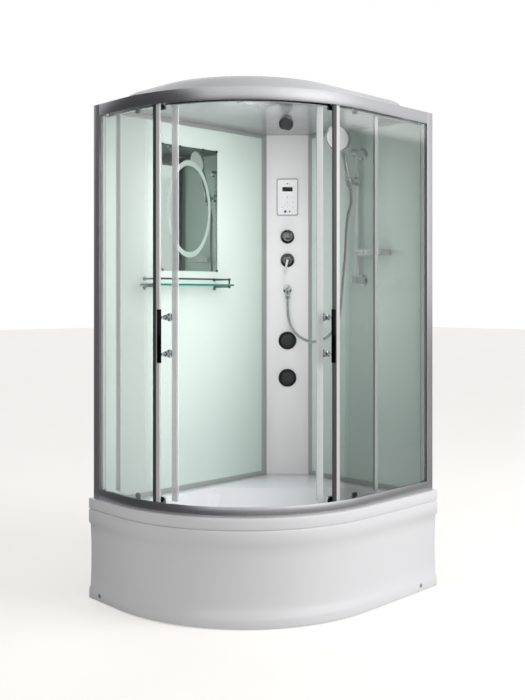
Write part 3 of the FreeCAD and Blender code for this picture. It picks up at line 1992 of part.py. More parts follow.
slider_bore = rod(
    "SliderBore",
    cell.bar_radius + cell.slider_play,
    cell.slider_height + 2 * cell.overrun,
    bar_x,
    cell.bar_y,
    slider_low - cell.overrun,
)
keep("handset_slider", cut("HandsetSlider", fuse("SliderSolid", *slider_parts), slider_bore))

# Holder and hand shower, built round the knuckle and leaned into the cabin

lean = Rotation(Vector(0, 1, 0), -cell.holder_lean.number)


def on_knuckle(thing):
    thing.Placement = Placement(vector(pivot_x, cell.bar_y, slider_level), lean)
    return thing


grip_x = -cell.holder_reach
holder_bore = cell.holder_radius - cell.holder_wall
holder = fuse(
    "HolderSolid",
    rod(
        "HolderRing",
        cell.holder_radius,
        cell.holder_height,
        grip_x,
        0,
        -cell.holder_height / 2,
    ),
    rod(
        "HolderKnuckle",
        cell.knuckle_radius,
        2 * cell.knuckle_half_width,
        0,
        -cell.knuckle_half_width,
        0,
        Vector(0, 1, 0),
    ),
    box(
        "HolderWeb",
        cell.holder_reach - holder_bore,
        2 * cell.knuckle_half_width,
        2 * cell.knuckle_radius - 2 * cell.overrun,
        holder_bore - cell.holder_reach,
        -cell.knuckle_half_width,
        cell.overrun - cell.knuckle_radius,
    ),
)
holder_tools = [
    rod(
        "HolderPinHole",
        cell.knuckle_pin_radius + cell.knuckle_pin_play,
        4 * cell.knuckle_half_width,
        0,
        -2 * cell.knuckle_half_width,
        0,
        Vector(0, 1, 0),
    ),
    rod(
        "HolderBore",
        holder_bore,
        2 * cell.holder_height,
        grip_x,
        0,
        -cell.holder_height,
    ),
]
keep("handset_holder", on_knuckle(together("HandsetHolder", cut("HolderCut", holder, *holder_tools))))

grip_radius = holder_bore - cell.holder_play
shoulder = cell.holder_height / 2 + cell.holder_play
handset_low = -cell.holder_height / 2 - cell.overrun
handset_body = turned(
    "HandsetGrip",
    [
        (0, handset_low),
        (cell.handset_tip_radius, handset_low),
        (grip_radius, cell.holder_height / 2),
        (grip_radius, shoulder),
        (cell.holder_radius, shoulder),
        (cell.handset_neck_radius, shoulder + cell.holder_wall * 3),
        (cell.handset_neck_radius, cell.handset_length),
        (0, cell.handset_length),
    ],
)
place(handset_body, grip_x)
head_x = grip_x - cell.head_forward
head = turned(
    "HandsetHead",
    [
        (0, 0),
        (cell.head_radius - cell.overrun * 2, 0),
        (cell.head_radius, cell.overrun),
        (cell.head_radius, cell.overrun * 3),
        (cell.head_radius * 0.85, cell.head_depth * 0.55),
        (cell.head_back_radius, cell.head_depth),
        (0, cell.head_depth * 1.1),
    ],
)
face_turn = Rotation(UP, cell.head_swivel.number).multiply(
    Rotation(Vector(0, 1, 0), cell.head_tilt.number)
)
place(head, head_x, 0, cell.head_rise, face_turn)
neck_top = ball("HandsetNeckTop", cell.handset_neck_radius, grip_x, 0, cell.handset_length)
nut_low = handset_low - cell.handset_nut_length
handset_nut = turned(
    "HandsetNut",
    [
        (0, nut_low),
        (nut_tip, nut_low),
        (cell.handset_nut_radius, nut_low + cell.handset_nut_length * 0.4),
        (cell.handset_nut_radius, handset_low),
        (0, handset_low),
    ],
)
place(handset_nut, grip_x)
handset_solid = fuse("HandsetSolid", handset_body, neck_top, head)
keep("hand_shower", on_knuckle(together("HandShower", handset_solid, handset_nut)))

# Soap dish: a slotted dish on its own clamp on the slide bar

dish_x = right_face - cell.soap_wall_gap - cell.soap_depth
dish_y = cell.bar_y - cell.soap_offset - cell.soap_width
dish_low = bar_bottom + cell.soap_rise - cell.soap_clamp_height / 2
dish_outer = rounded_plate(
    "DishOuter",
    cell.soap_depth,
    cell.soap_width,
    cell.soap_height,
    cell.soap_corner,
    dish_x,
    dish_y,
    dish_low,
)
dish_inner = rounded_plate(
    "DishInner",
    cell.soap_depth - 2 * cell.soap_wall,
    cell.soap_width - 2 * cell.soap_wall,
    cell.soap_height,
    cell.soap_corner - cell.soap_wall,
    dish_x + cell.soap_wall,
    dish_y + cell.soap_wall,
    dish_low + cell.soap_wall,
)
dish_tools = [dish_inner]
slot_pitch = (cell.soap_width - 8 * cell.soap_wall) / cell.soap_slot_count
for number in range(int(cell.soap_slot_count.number)):
    dish_tools.append(
        box(
            f"DishSlot{number}",
            cell.soap_depth + 2 * cell.overrun,
            cell.soap_slot_width,
            cell.soap_height / 2,
            dish_x - cell.overrun,
            dish_y + 4 * cell.soap_wall + (number + 0.5) * slot_pitch - cell.soap_slot_width / 2,
            dish_low + 2 * cell.soap_wall,
        )
    )
dish = cut("DishBasket", dish_outer, *dish_tools)
clamp = rod(
    "DishClamp", cell.soap_clamp_radius, cell.soap_clamp_height, bar_x, cell.bar_y, dish_low
)
arm = box(
    "DishArm",
    cell.soap_clamp_radius,
    cell.soap_offset + cell.soap_wall,
    cell.soap_clamp_height,
    bar_x - cell.soap_clamp_radius / 2,
    cell.bar_y - cell.soap_offset - cell.soap_wall,
    dish_low,
)
dish_bore = rod(
    "DishBore",
    cell.bar_radius + cell.slider_play,
    cell.soap_clamp_height + 2 * cell.overrun,
    bar_x,
    cell.bar_y,
    dish_low - cell.overrun,
)
dish_mount = cut("DishMount", fuse("DishMountSolid", clamp, arm), dish_bore)
keep("soap_dish", fuse("SoapDish", dish, dish_mount))

# Overhead shower: a slanted neck with a ball under the ceiling, and a tilting head

head_way = Rotation(UP, 45).multVec(
    Rotation(Vector(0, 1, 0), -cell.overhead_pitch.number).multVec(Vector(-1, 0, 0))
)
joint_level = cell.frame_top - cell.overhead_drop
neck_length = cell.overhead_drop / abs(head_way.z)
neck_top_x = cell.overhead_x - neck_length * head_way.x
neck_top_y = cell.overhead_y - neck_length * head_way.y
overhead_neck = fuse(
    "OverheadNeckSolid",
    ball(
        "OverheadBall", cell.overhead_ball_radius, cell.overhead_x, cell.overhead_y, joint_level
    ),
    rod(
        "OverheadNeck",
        cell.overhead_neck_radius,
        neck_length,
        cell.overhead_x,
        cell.overhead_y,
        joint_level,
        -head_way,
    ),
    rod(
        "OverheadFlange",
        cell.overhead_flange_radius,
        cell.overhead_flange_height,
        neck_top_x,
        neck_top_y,
        cell.frame_top - cell.overhead_flange_height,
    ),
)
overhead_trim = box(
    "OverheadTrim",
    4 * cell.overhead_flange_radius,
    4 * cell.overhead_flange_radius,
    cell.overhead_drop,
    neck_top_x - 2 * cell.overhead_flange_radius,
    neck_top_y - 2 * cell.overhead_flange_radius,
    cell.frame_top,
)
keep("overhead_flange", cut("OverheadNeckCut", overhead_neck, overhead_trim))
cup_lip = cell.overhead_neck_radius - cell.overrun
overhead_head = turned(
    "OverheadHeadSolid",
    [
        (0, -cup_lip),
        (cell.overhead_cup_radius, -cup_lip),
        (cell.overhead_cup_radius, cell.overhead_cup_radius),
        (cell.overhead_face_radius, cell.overhead_length - cell.overhead_rim_height),
        (cell.overhead_face_radius, cell.overhead_length),
        (0, cell.overhead_length),
    ],
)
ball_room = ball("OverheadBallRoom", cell.overhead_ball_radius + cell.overhead_ball_play)
overhead_cup = cut("OverheadCup", overhead_head, ball_room)
place(
    overhead_cup,
    cell.overhead_x,
    cell.overhead_y,
    joint_level,
    Rotation(UP, head_way),
)
keep("overhead_head", overhead_cup)

# Fan: a louvred plate under the ceiling, a duct above it with a motor boss, and the rotor

plate_low = cell.frame_top - cell.fan_plate_height
half_plate = cell.fan_plate / 2
fan_cover = rounded_plate(
    "FanCover",
    cell.fan_plate,
    cell.fan_plate,
    cell.fan_plate_height,
    cell.fan_corner,
    cell.fan_x - half_plate,
    cell.fan_y - half_plate,
    plate_low,
)
fan_tools = []
louvre_pitch = 2 * cell.fan_duct_radius / cell.fan_slot_count
for number in range(int(cell.fan_slot_count.number)):
    fan_tools.append(
        box(
            f"FanSlot{number}",
            2 * cell.fan_duct_radius - 4 * cell.fan_duct_wall,
            cell.fan_slot_width,
            cell.fan_plate_height + 2 * cell.overrun,
            cell.fan_x - cell.fan_duct_radius + 2 * cell.fan_duct_wall,
            cell.fan_y - cell.fan_duct_radius + (number + 0.5) * louvre_pitch - cell.fan_slot_width / 2,
            plate_low - cell.overrun,
        )
    )
grille = cut("FanGrille", fan_cover, *fan_tools)
duct = turned(
    "FanDuct",
    [
        (cell.fan_duct_radius - cell.fan_duct_wall, 0),
        (cell.fan_duct_radius, 0),
        (cell.fan_duct_radius, cell.fan_duct_height),
        (cell.fan_duct_radius - cell.fan_duct_wall, cell.fan_duct_height),
    ],
)
place(duct, cell.fan_x, cell.fan_y, cell.frame_top)
boss_low = cell.frame_top + cell.fan_duct_height - cell.fan_boss_height
boss = rod("FanBoss", cell.fan_hub_radius, cell.fan_boss_height, cell.fan_x, cell.fan_y, boss_low)
arms = [
    box(
        "FanArmLong",
        2 * cell.fan_duct_radius - cell.fan_duct_wall,
        cell.fan_arm_width,
        cell.fan_boss_height / 2,
        cell.fan_x - cell.fan_duct_radius + cell.fan_duct_wall / 2,
        cell.fan_y - cell.fan_arm_width / 2,
        boss_low + cell.fan_boss_height / 2,
    ),
    box(
        "FanArmShort",
        cell.fan_arm_width,
        2 * cell.fan_duct_radius - cell.fan_duct_wall,
        cell.fan_boss_height / 2,
        cell.fan_x - cell.fan_arm_width / 2,
        cell.fan_y - cell.fan_duct_radius + cell.fan_duct_wall / 2,
        boss_low + cell.fan_boss_height / 2,
    ),
]
rotor_low = cell.frame_top + cell.fan_blade_gap
pin = rod(
    "FanPin",
    cell.fan_pin_radius,
    boss_low - rotor_low,
    cell.fan_x,
    cell.fan_y,
    rotor_low,
)
keep("fan_housing", fuse("FanHousing", grille, duct, boss, *arms, pin))


def rotor_shape():
    """A hub with twisted flat blades, in its own frame."""
    blade_height = float(cell.fan_blade_height)
    hub = Part.makeCylinder(float(cell.fan_hub_radius), blade_height)
    tip = float(cell.fan_duct_radius - cell.fan_duct_wall - cell.fan_blade_gap / 2)
    pitch = math.radians(float(cell.fan_blade_pitch))
    chord = blade_height / math.sin(pitch) * 0.9
    thin_blade = float(cell.fan_blade_thickness)
    count = int(cell.fan_blade_count.number)
    blades = []
    for number in range(count):
        blade = Part.makeBox(tip * 0.95, chord, thin_blade)
        blade.translate(vector(0, -chord / 2, -thin_blade / 2))
        blade.rotate(Vector(0, 0, 0), Vector(1, 0, 0), float(cell.fan_blade_pitch))
        blade.translate(vector(0, 0, blade_height / 2))
        blade.rotate(Vector(0, 0, 0), UP, 360 * number / count)
        blades.append(blade)
    bore = Part.makeCylinder(float(cell.fan_pin_radius + cell.fan_pin_play), blade_height)
    ring = Part.makeCylinder(tip, blade_height)
    return hub.fuse(blades).common(ring).cut(bore)


rotor_seat = Placement(vector(cell.fan_x, cell.fan_y, rotor_low), Rotation())
keep("fan_rotor", held("FanRotor", rotor_shape(), rotor_seat))

# Hose: from the outlet's nut down in a loop and up to the hand shower's nut

outlet_seat = Placement(vector(column_x, column_y), column_turn)
hose_start = outlet_seat.multVec(vector(0, cell.outlet_reach, outlet_bottom))
knuckle_seat = Placement(vector(pivot_x, cell.bar_y, slider_level), lean)
hose_end = knuckle_seat.multVec(vector(grip_x, 0, nut_low - cell.hose_seat_gap))

hose_route = [
    (482.1, 347.1, 1206.0),
    (481.5, 330.0, 1140.0),
    (480.5, 285.0, 1093.0),
    (479.5, 222.0, 1066.0),
    (479.0, 152.0, 1061.0),
    (479.5, 84.0, 1083.0),
    (480.0, 30.0, 1128.0),
    (480.0, 0.0, 1190.0),
    (480.0, -9.0, 1268.0),
    (480.0, -18.0, 1360.0),
    (480.0, -30.0, 1460.0),
    (481.0, -36.0, 1565.0),
    (488.0, -40.0, 1660.0),
    (502.2, -56.0, 1727.5),
]
arc_reach_share = 0.45


def tube_path(points):
    """Straight runs joined by tangent arcs, each as large as its two runs allow."""
    edges = []
    here = points[0]
    for before, corner, after in zip(points, points[1:], points[2:]):
        back, ahead = before - corner, after - corner
        shorter = min(back.Length, ahead.Length)
        turn = math.pi - back.getAngle(ahead)
        reach = arc_reach_share * shorter
        radius = reach / math.tan(turn / 2)
        print(f"hose run {back.Length:.1f} mm, turn {math.degrees(turn):.1f}, radius {radius:.1f} mm")
        back.normalize()
        ahead.normalize()
        start, stop = corner + back * reach, corner + ahead * reach
        middle = corner + (back + ahead).normalize() * (radius / math.cos(turn / 2) - radius)
        edges.append(Part.LineSegment(here, start).toShape())
        edges.append(Part.Arc(start, middle, stop).toShape())
        here = stop
    edges.append(Part.LineSegment(here, points[-1]).toShape())
    return edges


def ring_across(edges, station, radius):
    """A circle square to the path at a distance along it, its X axis kept steady."""
    for edge in edges:
        if station <= edge.Length or edge is edges[-1]:
            break
        station -= edge.Length
    spot = edge.getParameterByLength(min(station, edge.Length))
    tangent = edge.tangentAt(spot)
    ring = Part.Circle(edge.valueAt(spot), tangent, float(radius))
    ring.XAxis = Vector(1, 0, 0) - tangent * tangent.x
    return Part.Wire(ring.toShape())


rib_place_shares = (0.15, 0.35, 0.65, 0.85)


def ribbed_tube(edges, crest, valley, bore, count, plain_end):
    """A tube with ribs: four circles a rib joined by ruled faces, and a smooth bore."""
    total = sum(edge.Length for edge in edges)
    pitch = (total - 2 * float(plain_end)) / count
    stations = [(0, valley)]
    for number in range(count):
        for share, radius in zip(rib_place_shares, (valley, crest, crest, valley)):
            stations.append((float(plain_end) + (number + share) * pitch, radius))
    stations.append((total, valley))
    rings = [ring_across(edges, station, radius) for station, radius in stations]
    outside = Part.makeLoft(rings, True, True)
    inside = Part.Wire(edges).makePipeShell([ring_across(edges, 0, bore)], True, False)
    return outside.cut(inside)


hose_path = tube_path([hose_start] + [Vector(*point) for point in hose_route] + [hose_end])
hose_shape = ribbed_tube(
    hose_path,
    cell.hose_radius,
    cell.hose_radius - cell.hose_rib_depth,
    cell.hose_bore_radius,
    int(cell.hose_rib_count.number),
    2 * cell.hose_radius,
)
hose_length = sum(edge.Length for edge in hose_path)
plain_volume = math.pi * float(cell.hose_radius) ** 2 * hose_length
print(f"hose length {hose_length:.1f} mm, share of a plain rod {hose_shape.Volume / plain_volume:.4f}")
keep("shower_hose", held("ShowerHose", hose_shape))

doc.recompute()
failed = [
    thing.Label for thing in doc.Objects if "Invalid" in thing.State or "Error" in thing.State
]
if failed:
    raise RuntimeError(f"failed features: {failed}")
os.makedirs("parts", exist_ok=True)
for name, thing in nodes.items():
    if thing.Shape.isNull() or not thing.Shape.isValid() or not thing.Shape.Solids:
        raise RuntimeError(f"{name} has no valid solid")
    thing.Shape.exportStep(f"parts/{name}.step")
    box_now = thing.Shape.BoundBox
    print(name, len(thing.Shape.Solids), round(thing.Shape.Volume), box_now)
print(len(nodes), "nodes")
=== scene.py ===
import json
import math

import bmesh
import bpy
from mathutils import Matrix, Vector

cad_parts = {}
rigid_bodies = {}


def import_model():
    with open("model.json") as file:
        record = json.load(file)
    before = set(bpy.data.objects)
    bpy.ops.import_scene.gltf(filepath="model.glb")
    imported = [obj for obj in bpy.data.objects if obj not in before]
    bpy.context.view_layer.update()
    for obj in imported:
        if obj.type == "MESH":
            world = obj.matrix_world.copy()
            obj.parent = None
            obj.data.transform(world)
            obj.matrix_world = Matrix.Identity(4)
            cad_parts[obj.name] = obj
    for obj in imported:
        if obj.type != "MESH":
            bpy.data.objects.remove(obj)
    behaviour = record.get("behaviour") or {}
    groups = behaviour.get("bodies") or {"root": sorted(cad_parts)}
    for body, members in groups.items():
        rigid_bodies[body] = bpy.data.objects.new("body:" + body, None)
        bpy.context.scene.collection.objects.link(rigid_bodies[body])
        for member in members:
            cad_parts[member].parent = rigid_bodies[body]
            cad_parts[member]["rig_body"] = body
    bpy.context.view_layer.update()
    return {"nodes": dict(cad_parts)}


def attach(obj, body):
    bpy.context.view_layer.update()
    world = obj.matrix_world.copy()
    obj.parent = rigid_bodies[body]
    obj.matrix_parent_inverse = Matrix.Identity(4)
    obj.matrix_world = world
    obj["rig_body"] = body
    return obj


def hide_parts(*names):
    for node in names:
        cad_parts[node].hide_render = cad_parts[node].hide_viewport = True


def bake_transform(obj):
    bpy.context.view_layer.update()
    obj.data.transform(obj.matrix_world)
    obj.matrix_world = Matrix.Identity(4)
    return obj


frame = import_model()
nodes = frame["nodes"]
scene = bpy.context.scene
print("frame loaded:", len(nodes), "CAD nodes")


def turnBy(degrees, axis):
    return Matrix.Rotation(math.radians(degrees), 4, axis)


# where the column and the front arc stand, in metres and degrees; facing turns +Z to the column's outward +Y
columnPlan = {"place": (0.509, 0.374, 0), "turn": 135}
columnFace = Matrix.Translation(columnPlan["place"]) @ turnBy(columnPlan["turn"], "Z")
facing = turnBy(-90, "X")
arcCentre = (0.115, 0.250)


def addNode(material, kind, settings=None, links=None):
    node = material.node_tree.nodes.new(kind)
    for name, value in (settings or {}).items():
        if isinstance(name, int) or name in node.inputs:
            node.inputs[name].default_value = value
        else:
            setattr(node, name, value)
    for name, socket in (links or {}).items():
        material.node_tree.links.new(socket, node.inputs[name])
    return node


def fromHex(code):
    parts = [int(code[place:place + 2], 16) / 255 for place in (1, 3, 5)]
    return tuple(p / 12.92 if p <= 0.04045 else ((p + 0.055) / 1.055) ** 2.4 for p in parts) + (1,)


def startFinish(name, settings):
    material = bpy.data.materials.new(name)
    material.use_nodes = True
    shader = material.node_tree.nodes["Principled BSDF"]
    for socket, value in settings.items():
        shader.inputs[socket].default_value = value
    coords = material.node_tree.nodes.new("ShaderNodeTexCoord")
    return material, shader, coords.outputs["Object"]


def join(material, source, target):
    material.node_tree.links.new(source, target)


# the camera stands where the photographer did: level, with the frame shifted down
cameraPlan = {
    "place": (-2.748, -2.825, 1.276), "forward": (0.694, 0.720, 0), "sensor": 36, "lens": 62.4, "shift": -0.0998,
    "far": 60,
}
cameraData = bpy.data.cameras.new("photoCamera")
cameraData.sensor_fit = "HORIZONTAL"
cameraData.sensor_width = cameraPlan["sensor"]
cameraData.lens = cameraPlan["lens"]
cameraData.shift_y = cameraPlan["shift"]
cameraData.clip_end = cameraPlan["far"]
camera = bpy.data.objects.new("photoCamera", cameraData)
camera.location = cameraPlan["place"]
camera.rotation_euler = Vector(cameraPlan["forward"]).to_track_quat("-Z", "Y").to_euler()
scene.collection.objects.link(camera)
scene.camera = camera
print("camera placed")

# the shower hose: metallised strip wound on a tube, seen as close rings
hosePlan = {
    "route": [
        (0.4821, 0.3471, 1.266), (0.4821, 0.3471, 1.206), (0.4815, 0.330, 1.140), (0.4805, 0.285, 1.093),
        (0.4795, 0.222, 1.066), (0.479, 0.152, 1.061), (0.4795, 0.084, 1.083), (0.480, 0.030, 1.128),
        (0.480, 0.0, 1.190), (0.480, -0.009, 1.268), (0.480, -0.018, 1.360), (0.480, -0.030, 1.460),
        (0.481, -0.036, 1.565), (0.488, -0.040, 1.660), (0.5022, -0.056, 1.7275), (0.48982, -0.056, 1.77077),
    ],
    "diameter": 0.014,
    "length": 1.123,
    "ribPitch": 0.0034,
    "ribDepth": 0.0009,
    "ringsPerRib": 4,
    "sides": 16,
}


def splinePoints(name, route):
    curve = bpy.data.curves.new(name, "CURVE")
    curve.dimensions = "3D"
    curve.resolution_u = 32
    spline = curve.splines.new("NURBS")
    spline.points.add(len(route) - 1)
    for point, place in zip(spline.points, route):
        point.co = (*place, 1)
    spline.order_u = 3
    spline.use_endpoint_u = True
    line = bpy.data.objects.new(name, curve)
    scene.collection.objects.link(line)
    graph = bpy.context.evaluated_depsgraph_get()
    mesh = bpy.data.meshes.new_from_object(line.evaluated_get(graph))
    points = [vertex.co.copy() for vertex in mesh.vertices]
    bpy.data.objects.remove(line)
    bpy.data.curves.remove(curve)
    bpy.data.meshes.remove(mesh)
    return points


def evenSteps(points, step):
    runs = [(b - a).length for a, b in zip(points, points[1:])]
    total = sum(runs)
    count = max(2, round(total / step))
    places, index, walked = [], 0, 0.0
    for number in range(count + 1):
        target = total * number / count
        while index < len(runs) - 1 and walked + runs[index] < target:
            walked += runs[index]
            index += 1
        share = (target - walked) / runs[index]
        places.append(points[index].lerp(points[index + 1], min(share, 1)))
    return places


def windHose(name, plan):
    line = splinePoints(name + "Line", plan["route"])
    path = evenSteps(line, plan["ribPitch"] / plan["ringsPerRib"])
    sides, radius = plan["sides"], plan["diameter"] / 2
    side = Vector((0, 0, 1)).cross(path[1] - path[0])
    if side.length < 1e-6:
        side = Vector((1, 0, 0))
    corners, faces = [], []
    for number, place in enumerate(path):
        ahead = path[min(number + 1, len(path) - 1)] - path[max(number - 1, 0)]
        ahead.normalize()
        side = (side - ahead * side.dot(ahead)).normalized()
        other = ahead.cross(side)
        crest = 0.5 - 0.5 * math.cos(2 * math.pi * number / plan["ringsPerRib"])
        reach = radius - plan["ribDepth"] * (1 - crest)
        for step in range(sides):
            angle = 2 * math.pi * step / sides
            corners.append(place + (side * math.cos(angle) + other * math.sin(angle)) * reach)
    for ring in range(len(path) - 1):
        for step in range(sides):
            a, b = ring * sides + step, ring * sides + (step + 1) % sides
            faces.append((a, b, b + sides, a + sides))
    faces.append(tuple(range(sides))[::-1])
    faces.append(tuple(len(corners) - sides + step for step in range(sides)))
    mesh = bpy.data.meshes.new(name)
    mesh.from_pydata(corners, [], faces)
    mesh.validate()
    hose = bpy.data.objects.new(name, mesh)
    scene.collection.objects.link(hose)
    for face in mesh.polygons[:-2]:
        face.use_smooth = True
    return hose, line


showerHose, hoseLine = windHose("showerHose", hosePlan)
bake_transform(showerHose)
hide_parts("shower_hose")
print("shower hose wound")

# moulded and painted finishes: patch is the size in mm over which the tone drifts, grain that of the texture and
# depth the texture's own
mouldedPlans = {
    # cast acrylic sheet, vacuum formed: deep gloss, faint waviness from the mould
    "castAcrylic": {
        "tones": ("#f0f0f2", "#e9e9ec"), "patch": 420, "grain": 55, "depth": 0.05, "rough": (0.12, 0.2),
        "set": {"IOR": 1.49, "Coat Weight": 0.35, "Coat Roughness": 0.06},
    },
    # ABS sheet of the roof, vacuum formed: glossy, light grey
    "roofAbs": {
        "tones": ("#dedfe1", "#d4d6d8"), "patch": 380, "grain": 60, "depth": 0.06, "rough": (0.16, 0.26),
        "set": {"IOR": 1.53, "Coat Weight": 0.2, "Coat Roughness": 0.1},
    },
    # the ceiling's own sheet and the fan's housing: the same ABS in mid grey
    "ceilingAbs": {
        "tones": ("#9b9c9e", "#929395"), "patch": 380, "grain": 60, "depth": 0.06, "rough": (0.16, 0.26),
        "set": {"IOR": 1.53, "Coat Weight": 0.2, "Coat Roughness": 0.1},
    },
    # injection-moulded ABS, white: an even half gloss
    "whiteAbs": {
        "tones": ("#efefef", "#e8e8ea"), "patch": 90, "grain": 1.6, "depth": 0.02, "rough": (0.26, 0.36),
        "set": {"IOR": 1.53},
    },
    # injection-moulded ABS, mid grey: an even, duller half gloss
    "greyAbs": {
        "tones": ("#9a9b9d", "#8c8d90"), "patch": 60, "grain": 1.4, "depth": 0.03, "rough": (0.34, 0.46),
        "set": {"IOR": 1.53},
    },
    # injection-moulded ABS, black: half gloss, so its lights stay soft
    "blackAbs": {
        "tones": ("#101011", "#0a0a0b"), "patch": 40, "grain": 1.2, "depth": 0.02, "rough": (0.3, 0.4),
        "set": {"IOR": 1.45},
    },
    # nylon of the wheels and the blades: milky, half matt
    "wheelNylon": {
        "tones": ("#dddbd4", "#cfcdc6"), "patch": 18, "grain": 1.0, "depth": 0.03, "rough": (0.38, 0.5),
        "set": {"IOR": 1.53, "Subsurface Weight": 0.08},
    },
    # powder coat on aluminium sheet: satin, with the coat's fine orange peel
    "columnCoat": {
        "tones": ("#f0efef", "#e7e6e7"), "patch": 350, "grain": 2.4, "depth": 0.03, "rough": (0.3, 0.4),
        "set": {"IOR": 1.5, "Coat Weight": 0.25, "Coat Roughness": 0.2},
    },
    # powder coat on square steel tube: duller and rougher than the column's
    "frameCoat": {
        "tones": ("#8e9194", "#7f8285"), "patch": 120, "grain": 3.0, "depth": 0.08, "rough": (0.45, 0.6),
        "set": {"IOR": 1.5},
    },
    # extruded PVC strip, half clear: pale and waxy
    "sealPvc": {
        "tones": ("#f2f4f5", "#e6eaeb"), "patch": 160, "grain": 6, "depth": 0.03, "rough": (0.22, 0.34),
        "set": {"IOR": 1.53, "Alpha": 0.62},
    },
    # the same strip, softer and clearer
    "clearPvc": {
        "tones": ("#f2f4f5", "#e6eaeb"), "patch": 160, "grain": 6, "depth": 0.03, "rough": (0.22, 0.34),
        "set": {"IOR": 1.53, "Alpha": 0.38},
    },
    # silicone nozzles: light grey, matt
    "nozzleSilicone": {
        "tones": ("#eceef0", "#dcdfe2"), "patch": 12, "grain": 0.8, "depth": 0.02, "rough": (0.45, 0.6),
        "set": {"IOR": 1.41, "Subsurface Weight": 0.1},
    },
    # printed polyester film over the touch keys: white, silky
    "panelFilm": {
        "tones": ("#f4f4f5", "#eeeef0"), "patch": 60, "grain": 0.7, "depth": 0.012, "rough": (0.3, 0.38),
        "set": {"IOR": 1.57, "Coat Weight": 0.2, "Coat Roughness": 0.15},
    },
    # tinted acrylic window over the display: near black, mirror smooth
    "displayWindow": {
        "tones": ("#08090a", "#050506"), "patch": 30, "grain": 9, "depth": 0.004, "rough": (0.06, 0.1),
        "set": {"IOR": 1.49, "Coat Weight": 0.6, "Coat Roughness": 0.03},
    },
    # screen-print inks: flat colours, half matt
    "greyPrint": {
        "tones": ("#b9bbbf", "#abadb2"), "patch": 6, "grain": 0.5, "depth": 0.01, "rough": (0.4, 0.5),
        "set": {"IOR": 1.5},
    },
    "bluePrint": {
        "tones": ("#3b4a86", "#303d74"), "patch": 6, "grain": 0.5, "depth": 0.01, "rough": (0.35, 0.45),
        "set": {"IOR": 1.5},
    },
    "redPrint": {
        "tones": ("#d77a70", "#c9675f"), "patch": 6, "grain": 0.5, "depth": 0.01, "rough": (0.3, 0.4),
        "set": {"IOR": 1.5},
    },
}

# nearly all that a noise texture gives lies between low and high. The bumps' strengths are for moulded and metal
# surfaces, and drawn and round squeeze the noise into lines: along a post, round the arc
surfacePlan = {"low": 0.3, "high": 0.7, "moulded": 0.6, "metal": 0.5, "drawn": 0.012, "round": 0.02}


def mouldedFinish(name, plan):
    material, shader, place = startFinish(name, plan["set"])
    drift = addNode(material, "ShaderNodeTexNoise", {"Scale": 1000 / plan["patch"], "Detail": 2.0}, {"Vector": place})
    tone = addNode(
        material, "ShaderNodeMix",
        {"data_type": "RGBA", 6: fromHex(plan["tones"][0]), 7: fromHex(plan["tones"][1])},
        {0: drift.outputs["Fac"]},
    )
    grain = addNode(material, "ShaderNodeTexNoise", {"Scale": 1000 / plan["grain"], "Detail": 4.0}, {"Vector": place})
    gloss = addNode(
        material, "ShaderNodeMapRange",
        {
            "From Min": surfacePlan["low"], "From Max": surfacePlan["high"],
            "To Min": plan["rough"][0], "To Max": plan["rough"][1],
        },
        {"Value": grain.outputs["Fac"]},
    )
    relief = addNode(
        material, "ShaderNodeBump", {"Strength": surfacePlan["moulded"], "Distance": plan["depth"] / 1000},
        {"Height": grain.outputs["Fac"]},
    )
    join(material, tone.outputs[2], shader.inputs["Base Color"])
    join(material, gloss.outputs[0], shader.inputs["Roughness"])
    join(material, relief.outputs[0], shader.inputs["Normal"])
    return material


finishes = {name: mouldedFinish(name, plan) for name, plan in mouldedPlans.items()}

# metals: line is the width in mm of a drawn line or of the haze, depth its depth, and along the way that it runs;
# "arc" is round the cabin's front
metalPlans = {
    # extruded aluminium, satin anodised: soft grey metal with faint die lines along its length
    "anodisedPost": {
        "tones": ("#c6c6c8", "#b7b7b9"), "line": 0.9, "along": "Z",
        "rough": (0.26, 0.36), "depth": 0.012, "metal": 0.8,
    },
    "anodisedRail": {
        "tones": ("#d0d0d2", "#c1c1c3"), "line": 1.1, "along": "arc",
        "rough": (0.26, 0.36), "depth": 0.012, "metal": 1.0,
    },
    # the profiles round the walls: the same metal, bead-blasted before it was anodised
    "paleAnodised": {
        "tones": ("#b4b8b7", "#a8acab"), "line": 0.9, "along": "Z",
        "rough": (0.4, 0.5), "depth": 0.012, "metal": 0.4,
    },
    # nickel and chromium plate on polished brass: mirror bright, with a trace of polishing haze
    "chromePlate": {
        "tones": ("#cfd1d2", "#c2c4c5"), "line": 14, "along": None,
        "rough": (0.03, 0.08), "depth": 0.002, "metal": 1.0,
    },
    # chromium plate on ABS: the same look, slightly softer
    "chromeAbs": {
        "tones": ("#dfe2e2", "#d3d6d6"), "line": 18, "along": None,
        "rough": (0.05, 0.1), "depth": 0.004, "metal": 0.8,
    },
    # the mixer's lever and the slide bar: chrome given a near-white, half-metal tone, a painted highlight, so that
    # they stand out from what is behind them
    "brightLever": {
        "tones": ("#f7f7f8", "#eeeef0"), "line": 6, "along": None,
        "rough": (0.2, 0.3), "depth": 0.004, "metal": 0.35,
    },
    # satin nickel of the knobs and of the shelf's rail
    "knobNickel": {
        "tones": ("#8b8c8e", "#7c7d7f"), "line": 12, "along": None,
        "rough": (0.08, 0.14), "depth": 0.003, "metal": 1.0,
    },
    # chromium plate on the valves' roses and necks, toned darker
    "darkChrome": {
        "tones": ("#5b5c5f", "#4a4b4e"), "line": 14, "along": None,
        "rough": (0.05, 0.1), "depth": 0.002, "metal": 1.0,
    },
    # metallised hose strip: bright but soft, the rings break up what it mirrors
    "hoseStrip": {
        "tones": ("#cfd0d2", "#b8b9bc"), "line": 3, "along": None,
        "rough": (0.16, 0.28), "depth": 0.01, "metal": 1.0,
    },
    # zinc-plated feet
    "zincPlate": {
        "tones": ("#bfc0be", "#a5a6a4"), "line": 5, "along": None,
        "rough": (0.3, 0.45), "depth": 0.02, "metal": 1.0,
    },
}


